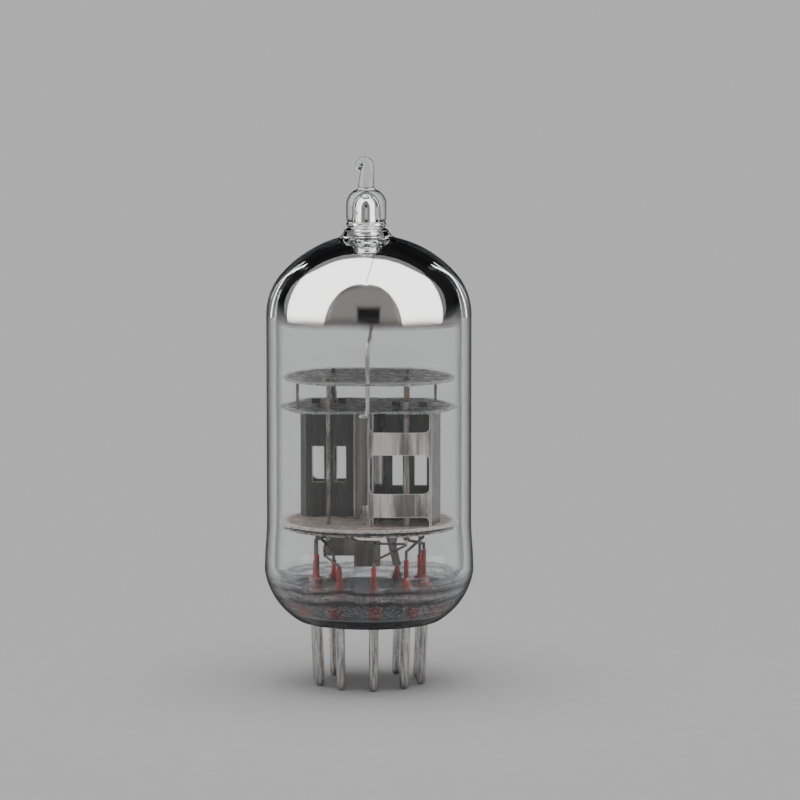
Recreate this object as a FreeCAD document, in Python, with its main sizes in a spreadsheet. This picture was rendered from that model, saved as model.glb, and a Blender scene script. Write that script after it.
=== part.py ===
"""A nine-pin miniature double-triode vacuum tube, built as its separate pieces.

Millimetres. +Z is up, and the origin is on the tube's axis in the plane of the pin tips. The two
triodes are the same, and the second is the first turned half a turn about the axis.
"""

import FreeCAD
import Part

import math
import os

import Sketcher

Vector = FreeCAD.Vector
Z_AXIS = Vector(0, 0, 1)

# The driving dimensions. Each becomes a cell of the sheet, under its own name.
DIMENSIONS = {
    # Pins and seals
    "pin_radius": 0.508,
    "pin_circle_radius": 5.945,
    "pin_tip_circle_radius": 5.66,
    "pin_bend_height": 6.7,
    "pin_tip_rounding": 0.45,
    "pin_end_height": 8.4,
    "seal_shoulder_radius": 0.42,
    "seal_wire_radius": 0.26,
    "seal_straight": 1.3,
    "seal_shoulder_height": 2.3,
    "seal_taper_height": 3.4,
    "seal_top_1": 12.6,
    "seal_top_2": 13.0,
    "seal_top_3": 14.2,
    "seal_top_4": 13.2,
    "seal_top_5": 13.3,
    "seal_top_6": 13.9,
    "seal_top_7": 14.6,
    "seal_top_8": 13.5,
    "seal_top_9": 11.8,
    # Glass
    "glass_wall": 1.0,
    "bulb_radius": 10.9,
    "base_radius": 7.6,
    "base_height": 6.9,
    "base_curve": 7.4,
    "bulge_radius": 11.13,
    "bulge_low": 12.0,
    "bulge_high": 12.9,
    "bulge_curve": 3.4,
    "side_low": 14.8,
    "shoulder_height": 39.6,
    "shoulder_curve": 6.5,
    "crown_curve": 12.34,
    "apex_height": 48.1,
    "flare_radius": 3.4,
    "flare_curve": 1.3,
    "neck_radius": 2.35,
    "neck_height": 48.5,
    "floor_radius": 8.3,
    "floor_height": 9.7,
    "floor_curve": 3.9,
    "inner_side_low": 13.4,
    "boss_radius": 1.35,
    "boss_height": 1.0,
    # Exhaust tip
    "tip_offset": -0.27,
    "tip_root_radius": 1.8,
    "tip_root_height": 46.9,
    "tip_collar_radius": 2.08,
    "tip_collar_high": 48.85,
    "tip_groove_radius": 1.92,
    "tip_groove_height": 48.95,
    "tip_body_radius": 2.13,
    "tip_body_low": 49.1,
    "tip_body_high": 51.6,
    "tip_shoulder_curve": 1.75,
    "tip_shoulder_radius": 0.85,
    "tip_shoulder_height": 53.0,
    "tip_bore_radius": 0.9,
    "tip_bore_high": 51.4,
    "tip_bore_end": 52.3,
    "tip_stub_radius": 0.75,
    "tip_end_radius": 0.62,
    "tip_bead_radius": 0.46,
    # Getter flash
    "flash_thickness": 0.05,
    "flash_edge_height": 38.7,
    "flash_mouth_radius": 2.4,
    "tip_film_low": 49.2,
    # Micas
    "mica_thickness": 0.25,
    "lower_mica_height": 17.45,
    "lower_mica_radius": 9.6,
    "backing_mica_height": 16.9,
    "backing_mica_radius": 9.2,
    "upper_mica_height": 29.7,
    "upper_mica_point": 9.84,
    "upper_mica_corner": 7.0,
    "upper_mica_depth": 6.7,
    "top_mica_height": 32.8,
    "top_mica_radius": 9.15,
    "top_mica_depth": 8.1,
    "hole_clearance": 0.03,
    # Anodes, as the front right triode has them
    "sheet": 0.2,
    "anode_low": 17.7,
    "anode_high": 29.7,
    "anode_left": -0.1,
    "anode_right": 6.4,
    "anode_front": -6.0,
    "band_curve": 17.75,
    "wing_x": 7.5,
    "wing_y": -2.5,
    "wall_end_x": 1.62,
    "wall_end_y": -1.5,
    "back_right": 6.9,
    "back_y": -1.3,
    "window_left": 0.1,
    "window_right": 6.2,
    "window_corner": 0.55,
    "window_depth": 4.8,
    "lower_band_low": 18.7,
    "lower_band_high": 21.2,
    "upper_band_low": 25.3,
    "upper_band_high": 27.7,
    "small_window_width": 1.25,
    "small_window_gap": 0.55,
    "small_window_low": 21.5,
    "small_window_high": 25.3,
    "small_window_centre": 4.3,
    "tab_width": 1.0,
    "tab_low": 16.5,
    "tab_high": 30.5,
    "left_tab": 2.4,
    "right_tab": 5.2,
    # Cathodes, grids and heaters
    "cathode_x": 3.9,
    "cathode_y": -3.8,
    "cathode_half_width": 0.26,
    "cathode_half_depth": 1.0,
    "cathode_wall": 0.06,
    "cathode_low": 16.3,
    "cathode_high": 33.3,
    "grid_rod_radius": 0.35,
    "grid_rod_spacing": 1.55,
    "grid_low": 16.2,
    "grid_high": 30.9,
    "winding_wire": 0.06,
    "winding_low": 18.9,
    "winding_high": 28.8,
    "winding_turns": 34.0,
    "heater_wire_radius": 0.15,
    "heater_leg_spacing": 0.45,
    "heater_low": 15.6,
    "heater_bend_height": 30.4,
    # Frame of the mount
    "rod_radius": 0.22,
    "rod_x": 4.2,
    "rod_y": 4.0,
    "rod_low": 16.0,
    "rod_high": 33.3,
    "clip_radius": 0.55,
    "clip_thickness": 0.2,
    "spacer_radius": 0.16,
    "spacer_x": 7.3,
    "spacer_y": 4.4,
    "shield_half_width": 1.5,
    "shield_low": 19.1,
    "shield_sheet": 0.15,
    "shield_foot_inner": 1.0,
    "base_shield_y": 6.15,
    "base_shield_left": -4.9,
    "base_shield_step": -1.7,
    "base_shield_right": 1.2,
    "base_shield_low": 11.5,
    "base_shield_middle": 12.8,
    "base_shield_high": 14.5,
    "ribbon_y": 5.23,
    "ribbon_top_left": 1.35,
    "ribbon_top_right": 3.55,
    "ribbon_waist_height": 14.3,
    "ribbon_waist_left": 2.0,
    "ribbon_waist_right": 2.95,
    "ribbon_foot_left": 2.6,
    "ribbon_foot_right": 3.5,
    # Getter
    "getter_post_radius": 0.24,
    "getter_post_x": -0.1,
    "getter_post_y": -6.95,
    "getter_ring_inner": 2.55,
    "getter_ring_outer": 3.65,
    "getter_ring_depth": 1.0,
    "getter_ring_sheet": 0.2,
    "getter_ring_height": 41.6,
    "getter_ring_x": 0.3,
    "getter_ring_y": -2.4,
    # Leads
    "lead_radius": 0.16,
    "heater_lead_radius": 0.13,
}

# Nine pins at ten places on the pin circle, counted from the front towards +X. The gap is at the back.
PIN_COUNT = 9
FIRST_PIN_ANGLE = 221.0
PIN_STEP = 36.0

doc = FreeCAD.newDocument("vacuum_tube")
finished = []


def derived_sizes(size):
    """Where the dome's arcs meet and end, where pin 1 stands, and how long each seal lead is."""
    centre = size["bulb_radius"] - size["shoulder_curve"]
    crown_centre = size["apex_height"] - size["crown_curve"]
    join = math.atan((size["shoulder_height"] - crown_centre) / centre)
    found = {}
    film = size["glass_wall"] + size["flash_thickness"]
    for name, inset in (("outer", 0.0), ("inner", size["glass_wall"]), ("film", film)):
        reach = size["shoulder_curve"] - inset
        found[name + "_join_radius"] = centre + reach * math.cos(join)
        found[name + "_join_height"] = size["shoulder_height"] + reach * math.sin(join)
    for name, inset, radius in (("flare_low", 0.0, "flare_radius"),
                                ("wall_mouth_height", size["glass_wall"], "flash_mouth_radius"),
                                ("film_mouth_height", film, "flash_mouth_radius")):
        reach = size["crown_curve"] - inset
        found[name] = crown_centre + math.sqrt(reach ** 2 - size[radius] ** 2)
    middle = pin_direction(1) * size["pin_circle_radius"]
    found["first_boss_x"] = middle.x
    found["first_boss_y"] = middle.y
    found["winding_outer_radius"] = size["grid_rod_radius"] + size["winding_wire"]
    found["half_shield_sheet"] = size["shield_sheet"] / 2
    top_radius, top_depth = size["top_mica_radius"], size["top_mica_depth"]
    found["top_mica_flat"] = math.sqrt(top_radius ** 2 - top_depth ** 2)
    for number in range(1, PIN_COUNT + 1):
        top = size[f"seal_top_{number}"]
        found[f"seal_length_{number}"] = top - size["pin_end_height"]
    return found


def fill_sheet():
    """Writes every dimension to the sheet, under its own name."""
    DIMENSIONS.update(derived_sizes(DIMENSIONS))
    sheet = doc.addObject("Spreadsheet::Sheet", "dims")
    for row, (name, number) in enumerate(DIMENSIONS.items(), 1):
        sheet.set(f"A{row}", name)
        sheet.set(f"B{row}", str(number))
        sheet.setAlias(f"B{row}", name)
    doc.recompute()


def pin_direction(number):
    """The unit vector from the axis towards a pin, in the plane of the base."""
    angle = math.radians(FIRST_PIN_ANGLE + PIN_STEP * (number - 1))
    return Vector(math.sin(angle), -math.cos(angle), 0)


def amount(text):
    """The value of a sum of named dimensions, such as "bulb_radius - glass_wall"."""
    total = 0.0
    sign = 1.0
    for word in text.split():
        if word in ("+", "-"):
            sign = 1.0 if word == "+" else -1.0
        elif word != "0":
            total += sign * DIMENSIONS[word]
    return total


def formula(text):
    """The same sum as an expression over the sheet's cells."""
    return " ".join(word if word in ("+", "-", "0") else "dims." + word for word in text.split())


# Sketches and bodies


def new_body(label):
    body = doc.addObject("PartDesign::Body", label)
    body.Label = label
    return body


def new_sketch(body, role, name, lift="0"):
    """A sketch on one of the body's own origin planes, lifted along the plane's normal."""
    sketch = body.newObject("Sketcher::SketchObject", name)
    plane = next(f for f in body.Origin.OriginFeatures if f.Role == role)
    sketch.AttachmentSupport = [(plane, "")]
    sketch.MapMode = "FlatFace"
    sketch.setExpression("AttachmentOffset.Base.z", formula(lift))
    return sketch


def pin_down(sketch, index, end, x, y):
    """Holds one end of a sketch edge at a named place."""
    for kind, axis, text in (("DistanceX", -2, x), ("DistanceY", -1, y)):
        if text == "0":
            sketch.addConstraint(Sketcher.Constraint("PointOnObject", index, end, axis))
        else:
            rule = Sketcher.Constraint(kind, -1, 1, index, end, amount(text))
            number = sketch.addConstraint(rule)
            sketch.setExpression(f"Constraints[{number}]", formula(text))


def join(sketch, first, second):
    """Joins two edge ends, each given as an edge and which of its ends."""
    sketch.addConstraint(Sketcher.Constraint("Coincident", *first, *second))


def arc_between(start, finish, radius, turn):
    """The short arc from start to finish. turn is 1 for anticlockwise and -1 for clockwise."""
    chord = finish - start
    height = math.sqrt(radius ** 2 - (chord.Length / 2) ** 2)
    side = Vector(-chord.y, chord.x, 0).normalize() * (height * turn)
    centre = start + chord * 0.5 + side
    first, last = (start, finish) if turn > 0 else (finish, start)
    angles = [math.atan2(p.y - centre.y, p.x - centre.x) for p in (first, last)]
    return Part.ArcOfCircle(Part.Circle(centre, Z_AXIS, radius), angles[0], angles[1])


def draw_path(sketch, corners, arcs=None, closed=True):
    """Edges through the corners. arcs gives an edge's radius and turn by its first corner."""
    arcs = arcs or {}
    points = [Vector(amount(x), amount(y), 0) for x, y in corners]
    edges = []
    for i in range(len(points) if closed else len(points) - 1):
        start = points[i]
        finish = points[(i + 1) % len(points)]
        if i in arcs:
            radius, turn = arcs[i]
            arc = arc_between(start, finish, amount(radius), turn)
            index = sketch.addGeometry(arc, False)
            rule = Sketcher.Constraint("Radius", index, amount(radius))
            number = sketch.addConstraint(rule)
            sketch.setExpression(f"Constraints[{number}]", formula(radius))
            edges.append((index, 1, 2) if turn > 0 else (index, 2, 1))
        else:
            edges.append((sketch.addGeometry(Part.LineSegment(start, finish), False), 1, 2))
    for i, (index, first, last) in enumerate(edges):
        pin_down(sketch, index, first, *corners[i])
        if closed or i:
            before = edges[i - 1]
            join(sketch, (before[0], before[2]), (index, first))
    if not closed:
        pin_down(sketch, edges[-1][0], edges[-1][2], *corners[-1])


def draw_circle(sketch, x, y, radius):
    middle = Vector(amount(x), amount(y), 0)
    index = sketch.addGeometry(Part.Circle(middle, Z_AXIS, amount(radius)), False)
    pin_down(sketch, index, 3, x, y)
    number = sketch.addConstraint(Sketcher.Constraint("Radius", index, amount(radius)))
    sketch.setExpression(f"Constraints[{number}]", formula(radius))


def draw_box(sketch, left, low, right, high):
    draw_path(sketch, [(left, low), (right, low), (right, high), (left, high)])


def draw_slot(sketch, x, y, radius, half_straight):
    """A slot along the sketch's Y: two half circles joined by straight sides."""
    caps = []
    for sign, angle in (("+", 0.0), ("-", math.pi)):
        place = f"{y} {sign} {half_straight}"
        circle = Part.Circle(Vector(amount(x), amount(place), 0), Z_AXIS, amount(radius))
        cap = sketch.addGeometry(Part.ArcOfCircle(circle, angle, angle + math.pi), False)
        pin_down(sketch, cap, 3, x, place)
        number = sketch.addConstraint(Sketcher.Constraint("Radius", cap, amount(radius)))
        sketch.setExpression(f"Constraints[{number}]", formula(radius))
        for end in (1, 2):
            sketch.addConstraint(Sketcher.Constraint("Horizontal", cap, 3, cap, end))
        caps.append(cap)
    for first, second in (caps, caps[::-1]):
        start, finish = sketch.getPoint(first, 2), sketch.getPoint(second, 1)
        side = sketch.addGeometry(Part.LineSegment(start, finish), False)
        join(sketch, (first, 2), (side, 1))
        join(sketch, (side, 2), (second, 1))


def revolve(body, sketch):
    turned = body.newObject("PartDesign::Revolution", "turned_" + sketch.Name)
    turned.Profile = sketch
    turned.ReferenceAxis = (sketch, ["V_Axis"])
    turned.Angle = 360
    doc.recompute()
    return turned


def pad(body, sketch, length):
    made = body.newObject("PartDesign::Pad", "pad_" + sketch.Name)
    made.Profile = sketch
    made.setExpression("Length", formula(length))
    doc.recompute()
    return made


def pocket(body, sketch, length, backwards=False):
    """Cuts the sketch out of the body, and makes sure that something was cut."""
    before = body.Shape.Volume
    made = body.newObject("PartDesign::Pocket", "pocket_" + sketch.Name)
    made.Profile = sketch
    made.Reversed = backwards
    made.setExpression("Length", formula(length))
    doc.recompute()
    if body.Shape.Volume > before - 1e-6:
        raise RuntimeError(sketch.Name + " cuts nothing")
    return made


def keep(node):
    """Adds a sub-part to the ones that are written out."""
    finished.append(node)
    return node


def half_turn(node):
    """The second triode's piece is the first one's, turned about the tube's axis."""
    node.Placement = FreeCAD.Placement(Vector(0, 0, 0), FreeCAD.Rotation(Z_AXIS, 180))


def union(label, pieces):
    """Several document objects fused into one sub-part."""
    whole = doc.addObject("Part::MultiFuse", label)
    whole.Label = label
    whole.Shapes = pieces
    doc.recompute()
    return whole


def chain(label, points, radius, ends=None):
    """Round wire through the points, with a ball at each. ends gives each point's own radius."""
    radii = ends or [radius] * len(points)
    shape = Part.makeSphere(radii[0], points[0])
    for i in range(1, len(points)):
        run = points[i] - points[i - 1]
        first, last = radii[i - 1], radii[i]
        if abs(first - last) < 1e-6:
            link = Part.makeCylinder(first, run.Length, points[i - 1], run)
        else:
            link = Part.makeCone(first, last, run.Length, points[i - 1], run)
        shape = shape.fuse([link, Part.makeSphere(last, points[i])])
    node = doc.addObject("Part::Feature", label)
    node.Label = label
    node.Shape = shape.removeSplitter()
    return node


# Glass


def glass_bulb():
    body = new_body("glass_bulb")
    profile = new_sketch(body, "XZ_Plane", "bulb_profile")
    corners = [
        ("base_radius", "base_height"),
        ("bulge_radius", "bulge_low"),
        ("bulge_radius", "bulge_high"),
        ("bulb_radius", "side_low"),
        ("bulb_radius", "shoulder_height"),
        ("outer_join_radius", "outer_join_height"),
        ("flare_radius", "flare_low"),
        ("neck_radius", "neck_height"),
        ("0", "neck_height"),
        ("0", "apex_height - glass_wall"),
        ("inner_join_radius", "inner_join_height"),
        ("bulb_radius - glass_wall", "shoulder_height"),
        ("bulb_radius - glass_wall", "inner_side_low"),
        ("floor_radius", "floor_height"),
    ]
    arcs = {
        0: ("base_curve", 1),
        1: ("bulge_curve", 1),
        4: ("shoulder_curve", 1),
        5: ("crown_curve", 1),
        6: ("flare_curve", -1),
        9: ("crown_curve - glass_wall", -1),
        10: ("shoulder_curve - glass_wall", -1),
        12: ("floor_curve", -1),
    }
    draw_path(profile, corners, arcs)
    revolve(body, profile)
    mouth = new_sketch(body, "XY_Plane", "tip_hole", "neck_height")
    draw_circle(mouth, "tip_offset", "0", "tip_root_radius")
    pocket(body, mouth, "crown_curve")
    return keep(body)


def exhaust_tip():
    """The tube that the bulb was pumped through, drawn off into a hooked stub."""
    body = new_body("exhaust_tip_tube")
    profile = new_sketch(body, "XZ_Plane", "tip_profile")
    corners = [
        ("tip_bore_radius", "tip_root_height"),
        ("tip_root_radius", "tip_root_height"),
        ("tip_root_radius", "neck_height"),
        ("tip_collar_radius", "neck_height"),
        ("tip_collar_radius", "tip_collar_high"),
        ("tip_groove_radius", "tip_groove_height"),
        ("tip_body_radius", "tip_body_low"),
        ("tip_body_radius", "tip_body_high"),
        ("tip_shoulder_radius", "tip_shoulder_height"),
        ("0", "tip_shoulder_height"),
        ("0", "tip_bore_end"),
        ("tip_bore_radius", "tip_bore_high"),
    ]
    arcs = {7: ("tip_shoulder_curve", 1), 10: ("tip_bore_radius", -1)}
    draw_path(profile, corners, arcs)
    revolve(body, profile)
    height = DIMENSIONS["tip_shoulder_height"]
    route = [Vector(0, 0, height), Vector(0.2, 0, height + 1.7), Vector(0.1, 0, height + 2.75),
             Vector(-0.7, 0, height + 2.4)]
    stub, end, bead = (DIMENSIONS[f"tip_{part}_radius"] for part in ("stub", "end", "bead"))
    hook = chain("exhaust_tip_hook", route, stub, [stub - 0.15, stub, end, bead])
    whole = union("exhaust_tip", [body, hook])
    whole.Placement.Base.x = DIMENSIONS["tip_offset"]
    return keep(whole)


def getter_flash():
    """The metal film that the getter left on the inside of the dome and of the exhaust tip."""
    body = new_body("dome_film")
    profile = new_sketch(body, "XZ_Plane", "film_profile")
    inside = "bulb_radius - glass_wall"
    corners = [
        (inside, "flash_edge_height"),
        (inside, "shoulder_height"),
        ("inner_join_radius", "inner_join_height"),
        ("flash_mouth_radius", "wall_mouth_height"),
        ("flash_mouth_radius", "film_mouth_height"),
        ("film_join_radius", "film_join_height"),
        (inside + " - flash_thickness", "shoulder_height"),
        (inside + " - flash_thickness", "flash_edge_height"),
    ]
    arcs = {
        1: ("shoulder_curve - glass_wall", 1),
        2: ("crown_curve - glass_wall", 1),
        4: ("crown_curve - glass_wall - flash_thickness", -1),
        5: ("shoulder_curve - glass_wall - flash_thickness", -1),
    }
    draw_path(profile, corners, arcs)
    revolve(body, profile)
    tip = new_body("tip_film")
    lining = new_sketch(tip, "XZ_Plane", "tip_film_profile")
    bore, thin = "tip_bore_radius", "flash_thickness"
    corners = [
        (f"{bore} - {thin}", "tip_film_low"), (bore, "tip_film_low"), (bore, "tip_bore_high"),
        ("0", "tip_bore_end"), ("0", f"tip_bore_end - {thin}"), (f"{bore} - {thin}", "tip_bore_high"),
    ]
    draw_path(lining, corners, {2: (bore, 1), 4: (f"{bore} - {thin}", -1)})
    revolve(tip, lining)
    tip.setExpression("Placement.Base.x", "dims.tip_offset")
    return keep(union("getter_flash", [body, tip]))


def stem_button(through):
    """The pressed glass base, with a boss around each lead and a hole for all that goes through."""
    body = new_body("stem_glass")
    profile = new_sketch(body, "XZ_Plane", "stem_profile")
    corners = [
        ("0", "base_height"),
        ("base_radius", "base_height"),
        ("floor_radius", "floor_height"),
        ("0", "floor_height"),
    ]
    draw_path(profile, corners)
    revolve(body, profile)
    outline = new_sketch(body, "XY_Plane", "boss_outline", "floor_height")
    draw_circle(outline, "first_boss_x", "first_boss_y", "boss_radius")
    boss = pad(body, outline, "boss_height")
    ring = body.newObject("PartDesign::PolarPattern", "bosses")
    ring.Originals = [boss]
    ring.Axis = (outline, ["N_Axis"])
    ring.Angle = PIN_STEP * (PIN_COUNT - 1)
    ring.Occurrences = PIN_COUNT
    body.Tip = ring
    doc.recompute()
    cut = doc.addObject("Part::Cut", "stem_button")
    cut.Label = "stem_button"
    cut.Base = body
    cut.Tool = union("stem_holes", through)
    return keep(cut)


# Pins and seals


def pin(number):
    """A pin with a rounded tip. Just below the glass it bends a little towards the axis."""
    body = new_body(f"pin_{number}")
    path = new_sketch(body, "XZ_Plane", f"pin_path_{number}")
    corners = [("pin_circle_radius", "pin_end_height"), ("pin_circle_radius", "pin_bend_height"),
               ("pin_tip_circle_radius", "0")]
    draw_path(path, corners, closed=False)
    section = new_sketch(body, "XY_Plane", f"pin_section_{number}", "pin_end_height")
    draw_circle(section, "pin_circle_radius", "0", "pin_radius")
    shank = body.newObject("PartDesign::AdditivePipe", f"pin_shank_{number}")
    shank.Profile = section
    shank.Spine = (path, [])
    shank.Transition = "Right corner"
    doc.recompute()
    tip_edge = min(range(len(shank.Shape.Edges)), key=lambda i: shank.Shape.Edges[i].BoundBox.ZMax)
    tip = body.newObject("PartDesign::Fillet", f"pin_tip_{number}")
    tip.Base = (shank, [f"Edge{tip_edge + 1}"])
    tip.setExpression("Radius", "dims.pin_tip_rounding")
    doc.recompute()
    direction = pin_direction(number)
    turn = math.degrees(math.atan2(direction.y, direction.x))
    body.Placement = FreeCAD.Placement(Vector(0, 0, 0), FreeCAD.Rotation(Z_AXIS, turn))
    return keep(body)


def seal_lead(number):
    """The red copper-clad wire that seals to the glass, butt-welded to the pin's inner end."""
    body = new_body(f"seal_lead_{number}")
    profile = new_sketch(body, "XZ_Plane", f"seal_profile_{number}")
    corners = [
        ("0", "0"),
        ("pin_radius", "0"),
        ("pin_radius", "seal_straight"),
        ("seal_shoulder_radius", "seal_shoulder_height"),
        ("seal_wire_radius", "seal_taper_height"),
        ("seal_wire_radius", f"seal_length_{number}"),
        ("0", f"seal_length_{number}"),
    ]
    draw_path(profile, corners)
    revolve(body, profile)
    foot = pin_direction(number) * DIMENSIONS["pin_circle_radius"]
    foot.z = DIMENSIONS["pin_end_height"]
    body.Placement.Base = foot
    return keep(body)


# Micas


def opposite(place):
    """The same distance on the other side of the axis, for a single name."""
    return "0 - " + place


def stepped(place, sign, names):
    """A place moved by each of the named sizes."""
    return place + "".join(f" {sign} {name}" for name in names)


def draw_centred_box(sketch, x, y, half_widths, half_depths):
    """A box about a point. Each half size is a list of names to add up."""
    draw_box(sketch, stepped(x, "-", half_widths), stepped(y, "-", half_depths),
             stepped(x, "+", half_widths), stepped(y, "+", half_depths))


def post_holes(body, name, height):
    """The holes that every mica has: two for the support rods and two for the cathodes."""
    holes = new_sketch(body, "XY_Plane", name + "_post_holes", height + " + mica_thickness")
    wide = ["cathode_half_width", "hole_clearance"]
    deep = ["cathode_half_depth", "hole_clearance"]
    rod = "rod_radius + hole_clearance"
    draw_circle(holes, "rod_x", "rod_y", rod)
    draw_circle(holes, opposite("rod_x"), opposite("rod_y"), rod)
    draw_centred_box(holes, "cathode_x", "cathode_y", wide, deep)
    draw_centred_box(holes, opposite("cathode_x"), opposite("cathode_y"), wide, deep)
    pocket(body, holes, "mica_thickness")


def electrode_holes(body, name, height):
    """The holes for the grid rods, the anode tabs and the feet of the centre shield."""
    holes = new_sketch(body, "XY_Plane", name + "_electrode_holes", height + " + mica_thickness")
    rod = "grid_rod_radius + hole_clearance"
    for sign in ("+", "-"):
        draw_circle(holes, "cathode_x", f"cathode_y {sign} grid_rod_spacing", rod)
        draw_circle(holes, opposite("cathode_x"), f"0 - cathode_y {sign} grid_rod_spacing", rod)
    for tab in ("left_tab", "right_tab"):
        draw_box(holes, tab, "wall_end_y", tab + " + tab_width", "back_y")
        draw_box(holes, f"0 - {tab} - tab_width", "0 - back_y", opposite(tab), "0 - wall_end_y")
    pocket(body, holes, "mica_thickness")


def shield_slots(body, name, height):
    slots = new_sketch(body, "XY_Plane", name + "_shield_slots", height + " + mica_thickness")
    near, far = "shield_foot_inner", "shield_half_width"
    draw_box(slots, near, opposite("shield_sheet"), far, "shield_sheet")
    draw_box(slots, opposite(far), opposite("shield_sheet"), opposite(near), "shield_sheet")
    pocket(body, slots, "mica_thickness")


def round_mica(label, height, radius):
    body = new_body(label)
    outline = new_sketch(body, "XY_Plane", label + "_outline", height)
    draw_circle(outline, "0", "0", radius)
    pad(body, outline, "mica_thickness")
    post_holes(body, label, height)
    electrode_holes(body, label, height)
    shield_slots(body, label, height)
    return keep(body)


def upper_mica():
    """The mica above the anodes, with pointed ends that bear on the glass."""
    body = new_body("upper_mica")
    outline = new_sketch(body, "XY_Plane", "upper_mica_outline", "upper_mica_height")
    point, corner, depth = "upper_mica_point", "upper_mica_corner", "upper_mica_depth"
    corners = [(point, "0"), (corner, depth), (opposite(corner), depth), (opposite(point), "0"),
               (opposite(corner), opposite(depth)), (corner, opposite(depth))]
    draw_path(outline, corners)
    pad(body, outline, "mica_thickness")
    post_holes(body, "upper_mica", "upper_mica_height")
    electrode_holes(body, "upper_mica", "upper_mica_height")
    return keep(body)


def top_mica():
    """The mica under the getter, round with its front and back cut flat."""
    body = new_body("top_mica")
    outline = new_sketch(body, "XY_Plane", "top_mica_outline", "top_mica_height")
    flat, depth = "top_mica_flat", "top_mica_depth"
    corners = [(flat, opposite(depth)), (flat, depth), (opposite(flat), depth),
               (opposite(flat), opposite(depth))]
    draw_path(outline, corners, {0: ("top_mica_radius", 1), 2: ("top_mica_radius", 1)})
    pad(body, outline, "mica_thickness")
    post_holes(body, "top_mica", "top_mica_height")
    hole = new_sketch(body, "XY_Plane", "getter_post_hole", "top_mica_height + mica_thickness")
    draw_circle(hole, "getter_post_x", "getter_post_y", "getter_post_radius + hole_clearance")
    pocket(body, hole, "mica_thickness")
    return keep(body)


# Electrodes. Each is made as the front right triode's, and turned half a turn for the other.


def anode_front(triode):
    """The channel that faces outwards: two side walls joined by two bands, with windows between."""
    body = new_body("anode_front_" + triode)
    plan = new_sketch(body, "XY_Plane", "front_plan_" + triode, "anode_low")
    corners = [
        ("wall_end_x", "wall_end_y"),
        ("anode_left", "anode_front"),
        ("anode_right", "anode_front"),
        ("wing_x", "wing_y"),
        ("wing_x - sheet", "wing_y"),
        ("anode_right - sheet", "anode_front + sheet"),
        ("anode_left + sheet", "anode_front + sheet"),
        ("wall_end_x + sheet", "wall_end_y"),
    ]
    draw_path(plan, corners, {1: ("band_curve", 1), 5: ("band_curve", -1)})
    pad(body, plan, "anode_high - anode_low")
    windows = new_sketch(body, "XZ_Plane", "windows_" + triode, "window_depth")
    left, right, rim = "window_left", "window_right", "window_corner"
    low, high = "anode_low - sheet", "lower_band_low"
    feet = [
        (left, low), (right, low), (right, f"{high} - {rim}"), (f"{right} - {rim}", high),
        (f"{left} + {rim}", high), (left, f"{high} - {rim}"),
    ]
    draw_path(windows, feet, {2: (rim, 1), 4: (rim, 1)})
    low, high = "upper_band_high", "anode_high + sheet"
    top = [
        (f"{left} + {rim}", low), (f"{right} - {rim}", low), (right, f"{low} + {rim}"),
        (right, high), (left, high), (left, f"{low} + {rim}"),
    ]
    draw_path(windows, top, {1: (rim, 1), 5: (rim, 1)})
    low, high = "lower_band_high", "upper_band_low"
    middle = [
        (f"{left} + {rim}", low), (f"{right} - {rim}", low),
        (right, f"{low} + {rim}"), (right, f"{high} - {rim}"),
        (f"{right} - {rim}", high), (f"{left} + {rim}", high),
        (left, f"{high} - {rim}"), (left, f"{low} + {rim}"),
    ]
    draw_path(windows, middle, {i: (rim, 1) for i in (1, 3, 5, 7)})
    pocket(body, windows, "window_depth", backwards=True)
    return keep(body)


def anode_back(triode):
    """The plate that faces the shield, with two small windows and four tabs through the micas."""
    body = new_body("anode_back_" + triode)
    plan = new_sketch(body, "XY_Plane", "back_plan_" + triode, "anode_low")
    corners = [
        ("wall_end_x", "wall_end_y"),
        ("back_right - sheet", "wall_end_y"),
        ("wing_x - sheet", "wing_y"),
        ("wing_x", "wing_y"),
        ("back_right", "back_y"),
        ("wall_end_x", "back_y"),
    ]
    draw_path(plan, corners)
    pad(body, plan, "anode_high - anode_low")
    tabs = new_sketch(body, "XY_Plane", "tabs_" + triode, "tab_low")
    for tab in ("left_tab", "right_tab"):
        draw_box(tabs, tab, "wall_end_y", tab + " + tab_width", "back_y")
    pad(body, tabs, "tab_high - tab_low")
    windows = new_sketch(body, "XZ_Plane", "small_windows_" + triode, "0")
    low, high = "small_window_low", "small_window_high"
    middle, gap = "small_window_centre", "small_window_gap"
    draw_box(windows, f"{middle} - {gap} - small_window_width", low, f"{middle} - {gap}", high)
    draw_box(windows, f"{middle} + {gap}", low, f"{middle} + {gap} + small_window_width", high)
    pocket(body, windows, "window_depth", backwards=True)
    return keep(body)


def cathode(triode):
    """A flat nickel sleeve, open at both ends for its heater."""
    body = new_body("cathode_" + triode)
    outline = new_sketch(body, "XY_Plane", "sleeve_outline_" + triode, "cathode_low")
    x, y = "cathode_x", "cathode_y"
    wide, deep, wall = "cathode_half_width", "cathode_half_depth", "cathode_wall"
    draw_centred_box(outline, x, y, [wide], [deep])
    draw_box(outline, f"{x} - {wide} + {wall}", f"{y} - {deep} + {wall}",
             f"{x} + {wide} - {wall}", f"{y} + {deep} - {wall}")
    pad(body, outline, "cathode_high - cathode_low")
    return keep(body)


def grid_rods(triode):
    """The two side rods that carry the grid winding."""
    body = new_body("grid_rods_" + triode)
    ends = new_sketch(body, "XY_Plane", "rod_ends_" + triode, "grid_low")
    for sign in ("+", "-"):
        draw_circle(ends, "cathode_x", f"cathode_y {sign} grid_rod_spacing", "grid_rod_radius")
    pad(body, ends, "grid_high - grid_low")
    return keep(body)


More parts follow.
